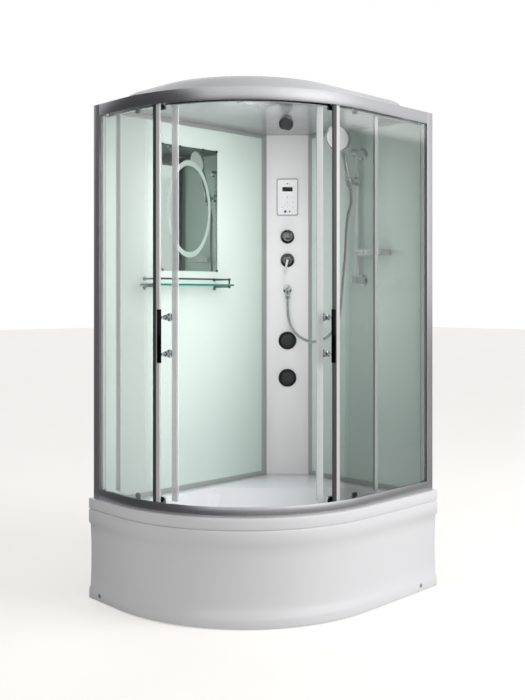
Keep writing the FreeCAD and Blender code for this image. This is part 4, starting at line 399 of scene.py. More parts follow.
def fromArc(material, place):
    apart = addNode(material, "ShaderNodeSeparateXYZ", {}, {0: place})
    dx = addNode(material, "ShaderNodeMath", {"operation": "SUBTRACT", 1: arcCentre[0]}, {0: apart.outputs[0]})
    dy = addNode(material, "ShaderNodeMath", {"operation": "SUBTRACT", 1: arcCentre[1]}, {0: apart.outputs[1]})
    flat = addNode(material, "ShaderNodeCombineXYZ", {}, {0: dx.outputs[0], 1: dy.outputs[0]})
    reach = addNode(material, "ShaderNodeVectorMath", {"operation": "LENGTH"}, {0: flat.outputs[0]})
    turned = addNode(material, "ShaderNodeMath", {"operation": "ARCTAN2"}, {0: dy.outputs[0], 1: dx.outputs[0]})
    return reach.outputs["Value"], turned.outputs[0], apart.outputs[2]


def metalFinish(name, plan):
    material, shader, place = startFinish(name, {"Metallic": plan["metal"]})
    if plan["along"] == "arc":
        reach, turned, level = fromArc(material, place)
        slow = addNode(material, "ShaderNodeMath", {"operation": "MULTIPLY", 1: surfacePlan["round"]}, {0: turned})
        place = addNode(material, "ShaderNodeCombineXYZ", {}, {0: reach, 1: slow.outputs[0], 2: level}).outputs[0]
    elif plan["along"] == "Z":
        drawn = (1, 1, surfacePlan["drawn"])
        place = addNode(material, "ShaderNodeMapping", {"Scale": drawn}, {"Vector": place}).outputs[0]
    lines = addNode(material, "ShaderNodeTexNoise", {"Scale": 1000 / plan["line"], "Detail": 3.0}, {"Vector": place})
    tone = addNode(
        material, "ShaderNodeMix",
        {"data_type": "RGBA", 6: fromHex(plan["tones"][0]), 7: fromHex(plan["tones"][1])},
        {0: lines.outputs["Fac"]},
    )
    gloss = addNode(
        material, "ShaderNodeMapRange",
        {
            "From Min": surfacePlan["low"], "From Max": surfacePlan["high"],
            "To Min": plan["rough"][0], "To Max": plan["rough"][1],
        },
        {"Value": lines.outputs["Fac"]},
    )
    relief = addNode(
        material, "ShaderNodeBump", {"Strength": surfacePlan["metal"], "Distance": plan["depth"] / 1000},
        {"Height": lines.outputs["Fac"]},
    )
    join(material, tone.outputs[2], shader.inputs["Base Color"])
    join(material, gloss.outputs[0], shader.inputs["Roughness"])
    join(material, relief.outputs[0], shader.inputs["Normal"])
    return material


finishes.update({name: metalFinish(name, plan) for name, plan in metalPlans.items()})

# bright chrome inside, black chrome on whatever stands further from the arc's centre than beyond, in metres. The
# polishing haze is about 11 mm across
twoTonePlans = {
    "handleChrome": {"bright": "#d9dadd", "dark": "#1a1a1c", "beyond": 0.7045, "rough": (0.05, 0.1), "haze": 90.0},
    "capChrome": {"bright": "#cfd0d3", "dark": "#202022", "beyond": 0.6734, "rough": (0.08, 0.16), "haze": 90.0},
}


def twoToneFinish(name, plan):
    material, shader, place = startFinish(name, {"Metallic": 1.0})
    reach = fromArc(material, place)[0]
    outside = addNode(material, "ShaderNodeMath", {"operation": "GREATER_THAN", 1: plan["beyond"]}, {0: reach})
    tone = addNode(
        material, "ShaderNodeMix",
        {"data_type": "RGBA", 6: fromHex(plan["bright"]), 7: fromHex(plan["dark"])}, {0: outside.outputs[0]},
    )
    haze = addNode(material, "ShaderNodeTexNoise", {"Scale": plan["haze"], "Detail": 3.0}, {"Vector": place})
    gloss = addNode(
        material, "ShaderNodeMapRange",
        {
            "From Min": surfacePlan["low"], "From Max": surfacePlan["high"],
            "To Min": plan["rough"][0], "To Max": plan["rough"][1],
        },
        {"Value": haze.outputs["Fac"]},
    )
    join(material, tone.outputs[2], shader.inputs["Base Color"])
    join(material, gloss.outputs[0], shader.inputs["Roughness"])
    return material


finishes.update({name: twoToneFinish(name, plan) for name, plan in twoTonePlans.items()})

# the profiles that end the fixed panes: satin aluminium, with painted shade, a dark tone in the colour, along the
# flank turned from the light. The angles are degrees from the left end: below low, or within span of middle, it takes
# the painted shade. Grain is per metre
flankShadePlan = {
    "dark": "#4c4b4c", "bright": ("#e6e5e5", "#cfcece"), "grain": 900.0, "rough": 0.36, "metal": 0.1,
    "low": 16.0, "middle": 74.0, "span": 3.9,
}
flankShaded, shader, place = startFinish(
    "gasketProfile", {"Roughness": flankShadePlan["rough"], "Metallic": flankShadePlan["metal"]}
)
turned = fromArc(flankShaded, place)[1]
angle = addNode(flankShaded, "ShaderNodeMath", {"operation": "MULTIPLY_ADD", 1: 180 / math.pi, 2: 180}, {0: turned})
first = addNode(flankShaded, "ShaderNodeMath", {"operation": "LESS_THAN", 1: flankShadePlan["low"]}, {0: angle.outputs[0]})
second = addNode(
    flankShaded, "ShaderNodeMath", {"operation": "COMPARE", 1: flankShadePlan["middle"], 2: flankShadePlan["span"]},
    {0: angle.outputs[0]},
)
shaded = addNode(flankShaded, "ShaderNodeMath", {"operation": "MAXIMUM"}, {0: first.outputs[0], 1: second.outputs[0]})
fine = addNode(flankShaded, "ShaderNodeTexNoise", {"Scale": flankShadePlan["grain"], "Detail": 2.0}, {"Vector": place})
bright = addNode(
    flankShaded, "ShaderNodeMix",
    {"data_type": "RGBA", 6: fromHex(flankShadePlan["bright"][0]), 7: fromHex(flankShadePlan["bright"][1])},
    {0: fine.outputs["Fac"]},
)
# the dark tone mixed in here is painted shade on one flank of the aluminium profile
tone = addNode(
    flankShaded, "ShaderNodeMix", {"data_type": "RGBA", 7: fromHex(flankShadePlan["dark"])},
    {0: shaded.outputs[0], 6: bright.outputs[2]},
)
join(flankShaded, tone.outputs[2], shader.inputs["Base Color"])
finishes["gasketProfile"] = flankShaded

# float glass painted mint on its back: an even colour deep under a hard, bright surface with the float's slow
# ripple, which is given per metre and comes out about 170 mm long
backedPlan = {"tones": ("#d4e0db", "#ccdad4"), "patch": 700, "ripple": 6.0, "strength": 0.05, "depth": 0.0002}
backed, shader, place = startFinish(
    "backPaintedGlass", {"Roughness": 0.07, "IOR": 1.52, "Coat Weight": 0.6, "Coat Roughness": 0.02}
)
drift = addNode(backed, "ShaderNodeTexNoise", {"Scale": 1000 / backedPlan["patch"], "Detail": 2.0}, {"Vector": place})
tone = addNode(
    backed, "ShaderNodeMix",
    {"data_type": "RGBA", 6: fromHex(backedPlan["tones"][0]), 7: fromHex(backedPlan["tones"][1])},
    {0: drift.outputs["Fac"]},
)
ripple = addNode(backed, "ShaderNodeTexNoise", {"Scale": backedPlan["ripple"], "Detail": 1.0}, {"Vector": place})
relief = addNode(
    backed, "ShaderNodeBump", {"Strength": backedPlan["strength"], "Distance": backedPlan["depth"]},
    {"Height": ripple.outputs["Fac"]},
)
join(backed, tone.outputs[2], shader.inputs["Base Color"])
join(backed, relief.outputs[0], shader.inputs["Normal"])
finishes["backPaintedGlass"] = backed

# toughened float glass: almost not there seen square on, more at a slant. Painted reflections are in its colour and
# cover: a pale room painted on the long side and a dark one on the short side, up to the height where the ceiling
# starts; cover is how much, from the one to the other. The film glass IOR gives the slant's share, which is reckoned
# between least and most
glassPlan = {
    "pale": "#f3f8f6", "dark": "#4a5650", "from": -0.35, "to": 0.30, "ends": (1.985, 1.945),
    "cover": (0.02, 0.075), "slant": 0.24, "least": 0.04, "most": 0.7, "film": 1.45, "rough": 0.02,
}
doorGlass, shader, place = startFinish("doorGlass", {"Roughness": glassPlan["rough"], "IOR": 1.52})
across = addNode(doorGlass, "ShaderNodeVectorMath", {"operation": "DOT_PRODUCT", 1: (1, -1, 0)}, {0: place})
side = addNode(
    doorGlass, "ShaderNodeMapRange",
    {"From Min": glassPlan["from"], "From Max": glassPlan["to"], "interpolation_type": "SMOOTHSTEP"},
    {"Value": across.outputs["Value"]},
)
apart = addNode(doorGlass, "ShaderNodeSeparateXYZ", {}, {0: place})
under = addNode(
    doorGlass, "ShaderNodeMapRange", {"From Min": glassPlan["ends"][0], "From Max": glassPlan["ends"][1]},
    {"Value": apart.outputs[2]},
)
# the share of painted reflection: dark on the short side, below the ceiling's height, pale elsewhere
paintedReflection = addNode(doorGlass, "ShaderNodeMath", {"operation": "MULTIPLY"}, {0: side.outputs[0], 1: under.outputs[0]})
tone = addNode(
    doorGlass, "ShaderNodeMix",
    {"data_type": "RGBA", 6: fromHex(glassPlan["pale"]), 7: fromHex(glassPlan["dark"])}, {0: paintedReflection.outputs[0]},
)
least = addNode(
    doorGlass, "ShaderNodeMapRange", {"To Min": glassPlan["cover"][0], "To Max": glassPlan["cover"][1]},
    {"Value": paintedReflection.outputs[0]},
)
slant = addNode(doorGlass, "ShaderNodeFresnel", {"IOR": glassPlan["film"]})
cover = addNode(
    doorGlass, "ShaderNodeMapRange",
    {"From Min": glassPlan["least"], "From Max": glassPlan["most"], "To Max": glassPlan["slant"]},
    {"Value": slant.outputs[0], "To Min": least.outputs[0]},
)
join(doorGlass, tone.outputs[2], shader.inputs["Base Color"])
join(doorGlass, cover.outputs[0], shader.inputs["Alpha"])
finishes["doorGlass"] = doorGlass

# the shelf's float glass: thicker and greener, its rim a deep teal. What stands steeper than upright is rim, and
# drift is per metre
shelfPlan = {
    "tones": ("#cfe6df", "#c2ded6"), "drift": 2.0, "rim": "#057561", "upright": 0.8,
    "cover": (0.25, 0.55), "least": 0.03, "most": 0.7, "film": 1.45,
}
shelfGlass, shader, place = startFinish("shelfGlass", {"Roughness": 0.02, "IOR": 1.52})
drift = addNode(shelfGlass, "ShaderNodeTexNoise", {"Scale": shelfPlan["drift"], "Detail": 2.0}, {"Vector": place})
tone = addNode(
    shelfGlass, "ShaderNodeMix",
    {"data_type": "RGBA", 6: fromHex(shelfPlan["tones"][0]), 7: fromHex(shelfPlan["tones"][1])},
    {0: drift.outputs["Fac"]},
)
slant = addNode(shelfGlass, "ShaderNodeFresnel", {"IOR": shelfPlan["film"]})
cover = addNode(
    shelfGlass, "ShaderNodeMapRange",
    {
        "From Min": shelfPlan["least"], "From Max": shelfPlan["most"],
        "To Min": shelfPlan["cover"][0], "To Max": shelfPlan["cover"][1],
    },
    {"Value": slant.outputs[0]},
)
shape = addNode(shelfGlass, "ShaderNodeNewGeometry")
apart = addNode(shelfGlass, "ShaderNodeSeparateXYZ", {}, {0: shape.outputs["Normal"]})
upright = addNode(shelfGlass, "ShaderNodeMath", {"operation": "ABSOLUTE"}, {0: apart.outputs[2]})
rim = addNode(
    shelfGlass, "ShaderNodeMath", {"operation": "LESS_THAN", 1: shelfPlan["upright"]}, {0: upright.outputs[0]}
)
colour = addNode(
    shelfGlass, "ShaderNodeMix", {"data_type": "RGBA", 7: fromHex(shelfPlan["rim"])},
    {0: rim.outputs[0], 6: tone.outputs[2]},
)
solid = addNode(shelfGlass, "ShaderNodeMath", {"operation": "MAXIMUM"}, {0: cover.outputs[0], 1: rim.outputs[0]})
join(shelfGlass, colour.outputs[2], shader.inputs["Base Color"])
join(shelfGlass, solid.outputs[0], shader.inputs["Alpha"])
finishes["shelfGlass"] = shelfGlass

# silvered glass with an etched oval band: the band scatters light, the rest mirrors
mirrorPlan = {
    "centre": (-0.066, 0, 1.687), "half": (0.129, 0.225), "band": 0.11, "blur": 0.006,
    "silver": "#bac7c0", "etched": "#a6b6ad", "rough": (0.02, 0.55), "metal": (1.0, 0.15),
}
silvered, shader, place = startFinish("silveredGlass", {"IOR": 1.52})
centred = addNode(
    silvered, "ShaderNodeVectorMath", {"operation": "SUBTRACT", 1: mirrorPlan["centre"]}, {0: place}
)
scaled = addNode(
    silvered, "ShaderNodeVectorMath",
    {"operation": "MULTIPLY", 1: (1 / mirrorPlan["half"][0], 0, 1 / mirrorPlan["half"][1])},
    {0: centred.outputs[0]},
)
reach = addNode(silvered, "ShaderNodeVectorMath", {"operation": "LENGTH"}, {0: scaled.outputs[0]})
away = addNode(
    silvered, "ShaderNodeMath", {"operation": "SUBTRACT", 1: 1 - mirrorPlan["band"] / 2}, {0: reach.outputs["Value"]}
)
size = addNode(silvered, "ShaderNodeMath", {"operation": "ABSOLUTE"}, {0: away.outputs[0]})
etched = addNode(
    silvered, "ShaderNodeMapRange",
    {
        "From Min": mirrorPlan["band"] / 2 + mirrorPlan["blur"],
        "From Max": mirrorPlan["band"] / 2 - mirrorPlan["blur"],
    },
    {"Value": size.outputs[0]},
)
tone = addNode(
    silvered, "ShaderNodeMix",
    {"data_type": "RGBA", 6: fromHex(mirrorPlan["silver"]), 7: fromHex(mirrorPlan["etched"])},
    {0: etched.outputs[0]},
)
frost = addNode(
    silvered, "ShaderNodeMapRange", {"To Min": mirrorPlan["rough"][0], "To Max": mirrorPlan["rough"][1]},
    {"Value": etched.outputs[0]},
)
bright = addNode(
    silvered, "ShaderNodeMapRange", {"To Min": mirrorPlan["metal"][0], "To Max": mirrorPlan["metal"][1]},
    {"Value": etched.outputs[0]},
)
join(silvered, tone.outputs[2], shader.inputs["Base Color"])
join(silvered, frost.outputs[0], shader.inputs["Roughness"])
join(silvered, bright.outputs[0], shader.inputs["Metallic"])
finishes["silveredGlass"] = silvered
print("finishes mixed:", len(finishes))

# what each CAD node is finished in; a number makes it a merged copy whose edges are softened by so many mm
nodeFinishes = {
    "tray": ("castAcrylic", 1.2),
    "drain_body": ("whiteAbs", None),
    "drain_cover": ("chromeAbs", 0.6),
    "base_frame": ("frameCoat", 0.8),
    "levelling_feet": ("zincPlate", None),
    "top_rail": ("anodisedRail", 0.5),
    "bottom_rail": ("anodisedRail", 0.5),
    "skirt_panel": ("castAcrylic", 1.0),
    "skirt_screw_caps": ("chromeAbs", None),
    "left_post": ("anodisedPost", 0.5),
    "right_post": ("anodisedPost", 0.5),
    "fixed_glass_left": ("doorGlass", 0),
    "fixed_glass_right": ("doorGlass", 0),
    # the fixed profiles carry painted shade on one flank
    "fixed_profiles": ("gasketProfile", 0.4),
    "post_seals": ("sealPvc", None),
    "door_glass_left": ("doorGlass", 0),
    "door_glass_right": ("doorGlass", 0),
    "door_strips_left": ("clearPvc", 0.3),
    "door_strips_right": ("sealPvc", 0.3),
    "door_handle_left": ("handleChrome", 0.4),
    "door_handle_right": ("handleChrome", 0.4),
    "roller_brackets_left": ("capChrome", 0.3),
    "roller_brackets_right": ("capChrome", 0.3),
    "wall_profiles": ("paleAnodised", 0.4),
    "long_wall_glass": ("backPaintedGlass", None),
    "short_wall_glass": ("backPaintedGlass", None),
    "column_panel": ("columnCoat", 0.5),
    "ceiling_panel": ("ceilingAbs", None),
    "roof_shell": ("roofAbs", 0.8),
    "mirror": ("silveredGlass", None),
    "shelf_glass": ("shelfGlass", None),
    "shelf_rail": ("knobNickel", 0.2),
    "control_panel": ("greyAbs", 0.6),
    "valve_bodies": ("darkChrome", 0.3),
    "diverter_knob": ("knobNickel", 0.5),
    "mixer_cap": ("knobNickel", 0.5),
    "mixer_lever": ("brightLever", 0.5),
    "hose_outlet": ("chromePlate", 0.4),
    "jet_rings": ("blackAbs", 0.5),
    "jet_face_upper": ("blackAbs", 0.4),
    "jet_face_lower": ("blackAbs", 0.4),
    "slide_bar": ("brightLever", 0.2),
    "bar_brackets": ("chromeAbs", 0.4),
    "handset_slider": ("chromeAbs", 0.4),
    "handset_holder": ("chromeAbs", 0.4),
    "hand_shower": ("chromeAbs", 0.4),
    "soap_dish": ("sealPvc", 0.4),
    "overhead_flange": ("chromePlate", 0.4),
    "overhead_head": ("chromePlate", 0.4),
    "fan_housing": ("ceilingAbs", 0.4),
    "fan_rotor": ("wheelNylon", None),
}
for name in nodes:
    if name.startswith(("top_wheel", "bottom_wheel")):
        nodeFinishes[name] = ("wheelNylon", 0.2)

# how the merged copies are made, in metres and degrees: corners as close as near and faces as level as flat become
# one, edges sharper than sharp are softened in so many segments, and those under smooth are shaded round
copyPlan = {"near": 0.00001, "flat": 0.6, "sharp": 35, "segments": 2, "smooth": 38}


def startFresh():
    if bpy.context.object and bpy.context.object.mode != "OBJECT":
        bpy.ops.object.mode_set(mode="OBJECT")
    bpy.ops.object.select_all(action="DESELECT")


def holdOnly(piece):
    startFresh()
    piece.select_set(True)
    bpy.context.view_layer.objects.active = piece


def selectFaces(piece, wanted):
    bpy.ops.object.mode_set(mode="EDIT")
    bpy.ops.mesh.select_mode(type="FACE")
    bpy.ops.mesh.select_all(action="DESELECT")
    shape = bmesh.from_edit_mesh(piece.data)
    for face in shape.faces:
        face.select_set(bool(wanted(face.calc_center_median(), face.normal)))
    bmesh.update_edit_mesh(piece.data)


def selectEdges(piece, wanted):
    bpy.ops.object.mode_set(mode="EDIT")
    bpy.ops.mesh.select_mode(type="EDGE")
    bpy.ops.mesh.select_all(action="DESELECT")
    shape = bmesh.from_edit_mesh(piece.data)
    for edge in shape.edges:
        a, b = (corner.co for corner in edge.verts)
        edge.select_set(bool(wanted((a + b) / 2, (b - a).normalized())))
    bmesh.update_edit_mesh(piece.data)


def insetFaces(piece, wanted, *steps):
    selectFaces(piece, wanted)
    for thickness, depth in steps:
        bpy.ops.mesh.inset(thickness=thickness, depth=depth)
    bpy.ops.object.mode_set(mode="OBJECT")


def onTop(middle, way):
    return way.z > 0.9


def inFront(middle, way):
    return way.y > 0.9


def softenEdges(piece, width):
    bevel = piece.modifiers.new("softEdges", "BEVEL")
    bevel.width = width
    bevel.segments = copyPlan["segments"]
    bevel.limit_method = "ANGLE"
    bevel.angle_limit = math.radians(copyPlan["sharp"])
    bevel.use_clamp_overlap = True
    bpy.ops.object.modifier_apply(modifier="softEdges")


def dressNode(name, finish, edge):
    source = nodes[name]
    material = finishes[finish]
    if edge is None:
        for slot in source.material_slots:
            slot.material = material
        return
    parts = name.split("_")
    piece = bpy.data.objects.new(parts[0] + "".join(part.title() for part in parts[1:]), source.data.copy())
    scene.collection.objects.link(piece)
    holdOnly(piece)
    if piece.data.has_custom_normals:
        bpy.ops.mesh.customdata_custom_splitnormals_clear()
    bpy.ops.object.mode_set(mode="EDIT")
    bpy.ops.mesh.select_all(action="SELECT")
    bpy.ops.mesh.remove_doubles(threshold=copyPlan["near"])
    bpy.ops.mesh.dissolve_limited(angle_limit=math.radians(copyPlan["flat"]))
    bpy.ops.object.mode_set(mode="OBJECT")
    if edge:
        softenEdges(piece, edge / 1000)
    bpy.ops.object.shade_smooth_by_angle(angle=math.radians(copyPlan["smooth"]))
    piece.data.materials.clear()
    piece.data.materials.append(material)
    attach(piece, source["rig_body"])
    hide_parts(name)


for name, (finish, edge) in nodeFinishes.items():
    dressNode(name, finish, edge)
showerHose.data.materials.append(finishes["hoseStrip"])
print("CAD nodes dressed")


def settle(piece, place):
    holdOnly(piece)
    piece.matrix_world = place @ piece.matrix_world
    bpy.ops.object.transform_apply(location=True, rotation=True, scale=True)


def startBlock(name, centre, size):
    startFresh()
    bpy.ops.mesh.primitive_cube_add(size=1, location=centre)
    piece = bpy.context.object
    piece.name = piece.data.name = name
    piece.scale = size
    bpy.ops.object.transform_apply(location=True, rotation=True, scale=True)
    return piece


def startRound(name, centre, radius, height, sides):
    startFresh()
    bpy.ops.mesh.primitive_cylinder_add(vertices=sides, radius=radius, depth=height, location=centre)
    piece = bpy.context.object
    piece.name = piece.data.name = name
    bpy.ops.object.transform_apply(location=True, rotation=True, scale=True)
    return piece


def joinAll(name, pieces):
    startFresh()
    for piece in pieces:
        piece.select_set(True)
    bpy.context.view_layer.objects.active = pieces[0]
    bpy.ops.object.join()
    whole = bpy.context.object
    whole.name = whole.data.name = name
    return whole


def copyTo(piece, name, place):
    twin = piece.copy()
    twin.data = piece.data.copy()
    twin.name = twin.data.name = name
    scene.collection.objects.link(twin)
    settle(twin, place)
    return twin


def finishPiece(piece, finish, body, edge=0.0, angle=30):
    holdOnly(piece)
    if edge:
        softenEdges(piece, edge)
    bpy.ops.object.shade_smooth_by_angle(angle=math.radians(angle))
    piece.data.materials.clear()
    piece.data.materials.append(finishes[finish])
    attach(piece, body)


# control panel: a printed film over the case, with its window, lamps and touch keys, in the column's own axes. A
# round one is its radius and height, and a step is the inset's width and depth
panelPlan = {
    "film": (0.099, 0.0012, 0.176), "filmCorner": 0.006, "middle": 1.779, "front": 0.0096,
    "filmSteps": ((0.0022, 0), (0.0006, -0.0003)),
    "window": (0.051, 0.0014, 0.0215), "windowCorner": 0.0016, "windowLevel": 1.818, "windowStep": (0.0016, -0.0004),
    "raised": 0.0008, "lampLevel": 1.8465, "lampApart": 0.012, "lamp": (0.0015, 0.001),
    "powerLamp": (0.0042, 0.0012), "powerStep": (0.0012, 0.0004),
    "keyFront": 0.0006, "keyColumns": (-0.027, 0, 0.027), "keyRows": (1.778, 1.7525, 1.728), "key": (0.0085, 0.0006),
    "keySteps": ((0.0011, 0.0003), (0.0022, -0.0002)),
    "mark": (0.0030, 0.0004), "markSides": (3, 24, 4), "markSteps": ((0.0011, 0), (0.0001, -0.0003)),
    "badgeLevel": 1.7065, "badgeApart": 0.0112, "badge": (0.0062, 0.0008), "badgeStep": (0.0012, 0.0003),
}


def onColumn(across, forward, level):
    return columnFace @ Matrix.Translation((across, forward, level)) @ facing


def roundedPlate(name, centre, size, corner):
    plate = startBlock(name, centre, size)
    selectEdges(plate, lambda middle, way: abs(way.y) > 0.9)
    bpy.ops.mesh.bevel(offset=corner, segments=6, affect="EDGES")
    bpy.ops.object.mode_set(mode="OBJECT")
    return plate


film = roundedPlate(
    "panelFilm", (0, panelPlan["front"], panelPlan["middle"]), panelPlan["film"], panelPlan["filmCorner"]
)
insetFaces(film, inFront, *panelPlan["filmSteps"])
settle(film, columnFace)
finishPiece(film, "panelFilm", "cabin", edge=0.0002)

raised = panelPlan["front"] + panelPlan["raised"]
window = roundedPlate(
    "panelWindow", (0, raised, panelPlan["windowLevel"]), panelPlan["window"], panelPlan["windowCorner"]
)
insetFaces(window, inFront, panelPlan["windowStep"])
settle(window, columnFace)
finishPiece(window, "displayWindow", "cabin", edge=0.0001)

keyPieces, keyMarks = [], []
for row, level in enumerate(panelPlan["keyRows"]):
    for column, across in enumerate(panelPlan["keyColumns"]):
        spot = onColumn(across, panelPlan["front"] + panelPlan["keyFront"], level)
        key = startRound(f"key{row}{column}", (0, 0, 0), *panelPlan["key"], sides=40)
        insetFaces(key, onTop, *panelPlan["keySteps"])
        settle(key, spot)
        keyPieces.append(key)
        sides = panelPlan["markSides"][(row + column) % 3]
        mark = startRound(f"mark{row}{column}", (0, 0, panelPlan["key"][1]), *panelPlan["mark"], sides=sides)
        insetFaces(mark, onTop, *panelPlan["markSteps"])
        settle(mark, spot)
        keyMarks.append(mark)
finishPiece(joinAll("panelKeys", keyPieces), "panelFilm", "cabin")
finishPiece(joinAll("panelKeyMarks", keyMarks), "greyPrint", "cabin")

lamps = []
for number in (-1, 1):
    lamp = startRound(f"lamp{number}", (0, 0, 0), *panelPlan["lamp"], sides=20)
    settle(lamp, onColumn(number * panelPlan["lampApart"], raised, panelPlan["lampLevel"]))
    lamps.append(lamp)
finishPiece(joinAll("panelSideLamps", lamps), "greyPrint", "cabin", edge=0.0002)
powerLamp = startRound("panelPowerLamp", (0, 0, 0), *panelPlan["powerLamp"], sides=28)
insetFaces(powerLamp, onTop, panelPlan["powerStep"])
settle(powerLamp, onColumn(0, raised, panelPlan["lampLevel"]))
finishPiece(powerLamp, "redPrint", "cabin", edge=0.0001)

badges = []
for number, sides in ((1, 28), (-1, 3)):
    badge = startRound(f"badge{number}", (0, 0, 0), *panelPlan["badge"], sides=sides)
    insetFaces(badge, onTop, panelPlan["badgeStep"])
    spot = onColumn(
        number * panelPlan["badgeApart"], panelPlan["front"] + panelPlan["keyFront"], panelPlan["badgeLevel"]
    )
    settle(badge, spot @ turnBy(90, "Z"))
    badges.append(badge)
finishPiece(joinAll("panelBlueKeys", badges), "bluePrint", "cabin")
print("control panel made")

# where the shower heads stand: the hand shower leans from its knuckle, the overhead one tilts under the ceiling
headPlan = {
    "knuckle": (0.502, -0.056, 1.819), "lean": -16, "reach": (-0.046, 0, 0.210), "twist": 10, "nod": 86,
    "overhead": (0.163, 0.042, 2.070), "overheadWay": (-0.5997, -0.5997, -0.5299),
}
knuckle = Matrix.Translation(headPlan["knuckle"]) @ turnBy(headPlan["lean"], "Y")
handsetHead = (
    knuckle @ Matrix.Translation(headPlan["reach"]) @ turnBy(headPlan["twist"], "Z")
    @ turnBy(headPlan["nod"], "Y") @ turnBy(180, "X")
)
overheadTurn = Vector(headPlan["overheadWay"]).to_track_quat("Z", "Y").to_matrix().to_4x4()
overheadHead = Matrix.Translation(headPlan["overhead"]) @ overheadTurn

# face plates in the chrome rims of the two heads, each dished by steps that are shares of its radius and thickness
plateSteps = ((0.07, -0.3), (0.03, 0.25))
platePlans = {
    "handsetPlate": {
        "axis": handsetHead, "level": 0.0003, "radius": 0.0555, "thick": 0.0014,
        "finish": "whiteAbs", "body": "handset", "slot": "white_plastic",
    },
    "overheadPlate": {
        "axis": overheadHead, "level": 0.0403, "radius": 0.0265, "thick": 0.0014,
        "finish": "blackAbs", "body": "overhead", "slot": "black_plastic",
    },
}
for name, plan in platePlans.items():
    plate = startRound(name, (0, 0, 0), plan["radius"], plan["thick"], sides=72)
    steps = [(plan["radius"] * wide, plan["thick"] * deep) for wide, deep in plateSteps]
    insetFaces(plate, onTop, *steps)
    settle(plate, plan["axis"] @ Matrix.Translation((0, 0, plan["level"])))
    finishPiece(plate, plan["finish"], plan["body"], edge=0.0002)

# bright rims on the valves' dark roses, and the mark above the diverter
rimPlan = {"levels": (1.581, 1.463), "reach": 0.0338, "thick": 0.0012, "forward": 0.0055}
rims = []
for number, level in enumerate(rimPlan["levels"]):
    startFresh()
    bpy.ops.mesh.primitive_torus_add(
        major_radius=rimPlan["reach"], minor_radius=rimPlan["thick"], major_segments=72, minor_segments=12
    )
    rim = bpy.context.object
    rim.name = rim.data.name = f"rim{number}"
    settle(rim, onColumn(0, rimPlan["forward"], level))
    rims.append(rim)
finishPiece(joinAll("valveRims", rims), "chromePlate", "cabin", angle=60)
markPlan = {"size": (0.0036, 0.0016), "step": (0.0011, 0.0003), "spot": (0, 0.0065, 1.6125)}
mark = startRound("diverterMark", (0, 0, 0), *markPlan["size"], sides=24)
insetFaces(mark, onTop, markPlan["step"])
settle(mark, onColumn(*markPlan["spot"]))
finishPiece(mark, "redPrint", "cabin", edge=0.0002)

# black clips that hold the mirror by its corners and its top edge
clipPlan = {
    "spots": (
        (-0.2215, 1.9705), (-0.2215, 1.4025), (-0.12, 1.9705), (0.018, 1.9705), (0.1025, 1.9705), (0.1025, 1.4025),
    ),
    "y": 0.4445, "size": (0.008, 0.0045, 0.009), "step": (0.0012, 0.0004),
}
clips = []
for number, (across, level) in enumerate(clipPlan["spots"]):
    clip = startBlock(f"clip{number}", (across, clipPlan["y"], level), clipPlan["size"])
    insetFaces(clip, lambda middle, way: way.y < -0.9, clipPlan["step"])
    clips.append(clip)
finishPiece(joinAll("mirrorClips", clips), "blackAbs", "cabin", edge=0.0005)
print("shower faces, rims and clips made")

# nozzles: one is shaped, the rest are copies set in rings round each face's middle. A ring is its radius and count,
# and a nozzle narrows to tip at its end, with a hole whose rim and depth are shares of its radius and height
nozzleShape = {"tip": 0.62, "rim": 0.25, "hole": 0.3}
jetRings = ((0.009, 6), (0.0175, 10), (0.0262, 14))
nozzlePlans = {
    "handset": {
        "axis": handsetHead, "face": 0.0012, "radius": 0.0014, "height": 0.0016, "body": "handset",
        "rings": ((0.008, 4), (0.018, 10), (0.028, 16), (0.038, 22), (0.048, 28)),
    },
    "overhead": {
        "axis": overheadHead, "face": 0.0412, "radius": 0.0011, "height": 0.0016, "body": "overhead",
        "rings": ((0, 1), (0.0075, 6), (0.0145, 12), (0.021, 18)),
    },
    "upperJet": {
        "axis": onColumn(0, 0, 1.061), "face": 0.0150, "radius": 0.0017, "height": 0.0022, "body": "upper_jet",
        "rings": jetRings,
    },
    "lowerJet": {
        "axis": onColumn(0, 0, 0.874), "face": 0.0150, "radius": 0.0017, "height": 0.0022, "body": "lower_jet",
        "rings": jetRings,
    },
}


def setNozzles(name, plan):
    first = startRound(name + "First", (0, 0, 0), plan["radius"], plan["height"], sides=10)
    selectFaces(first, onTop)
    tip = nozzleShape["tip"]
    bpy.ops.transform.resize(value=(tip, tip, 1), center_override=(0, 0, plan["height"] / 2))
    bpy.ops.mesh.inset(thickness=plan["radius"] * nozzleShape["rim"], depth=-plan["height"] * nozzleShape["hole"])
    bpy.ops.object.mode_set(mode="OBJECT")
    copies = []
    for ring, (reach, count) in enumerate(plan["rings"]):
        for step in range(count):
            angle = 2 * math.pi * (step + 0.5 * (ring % 2)) / count
            spot = Matrix.Translation((reach * math.cos(angle), reach * math.sin(angle), plan["face"]))
            copies.append(copyTo(first, f"{name}{ring}x{step}", plan["axis"] @ spot))
    bpy.data.objects.remove(first)
    whole = joinAll(name + "Nozzles", copies)
    finishPiece(whole, "nozzleSilicone", plan["body"])


for name, plan in nozzlePlans.items():
    setNozzles(name, plan)
print("nozzles set")

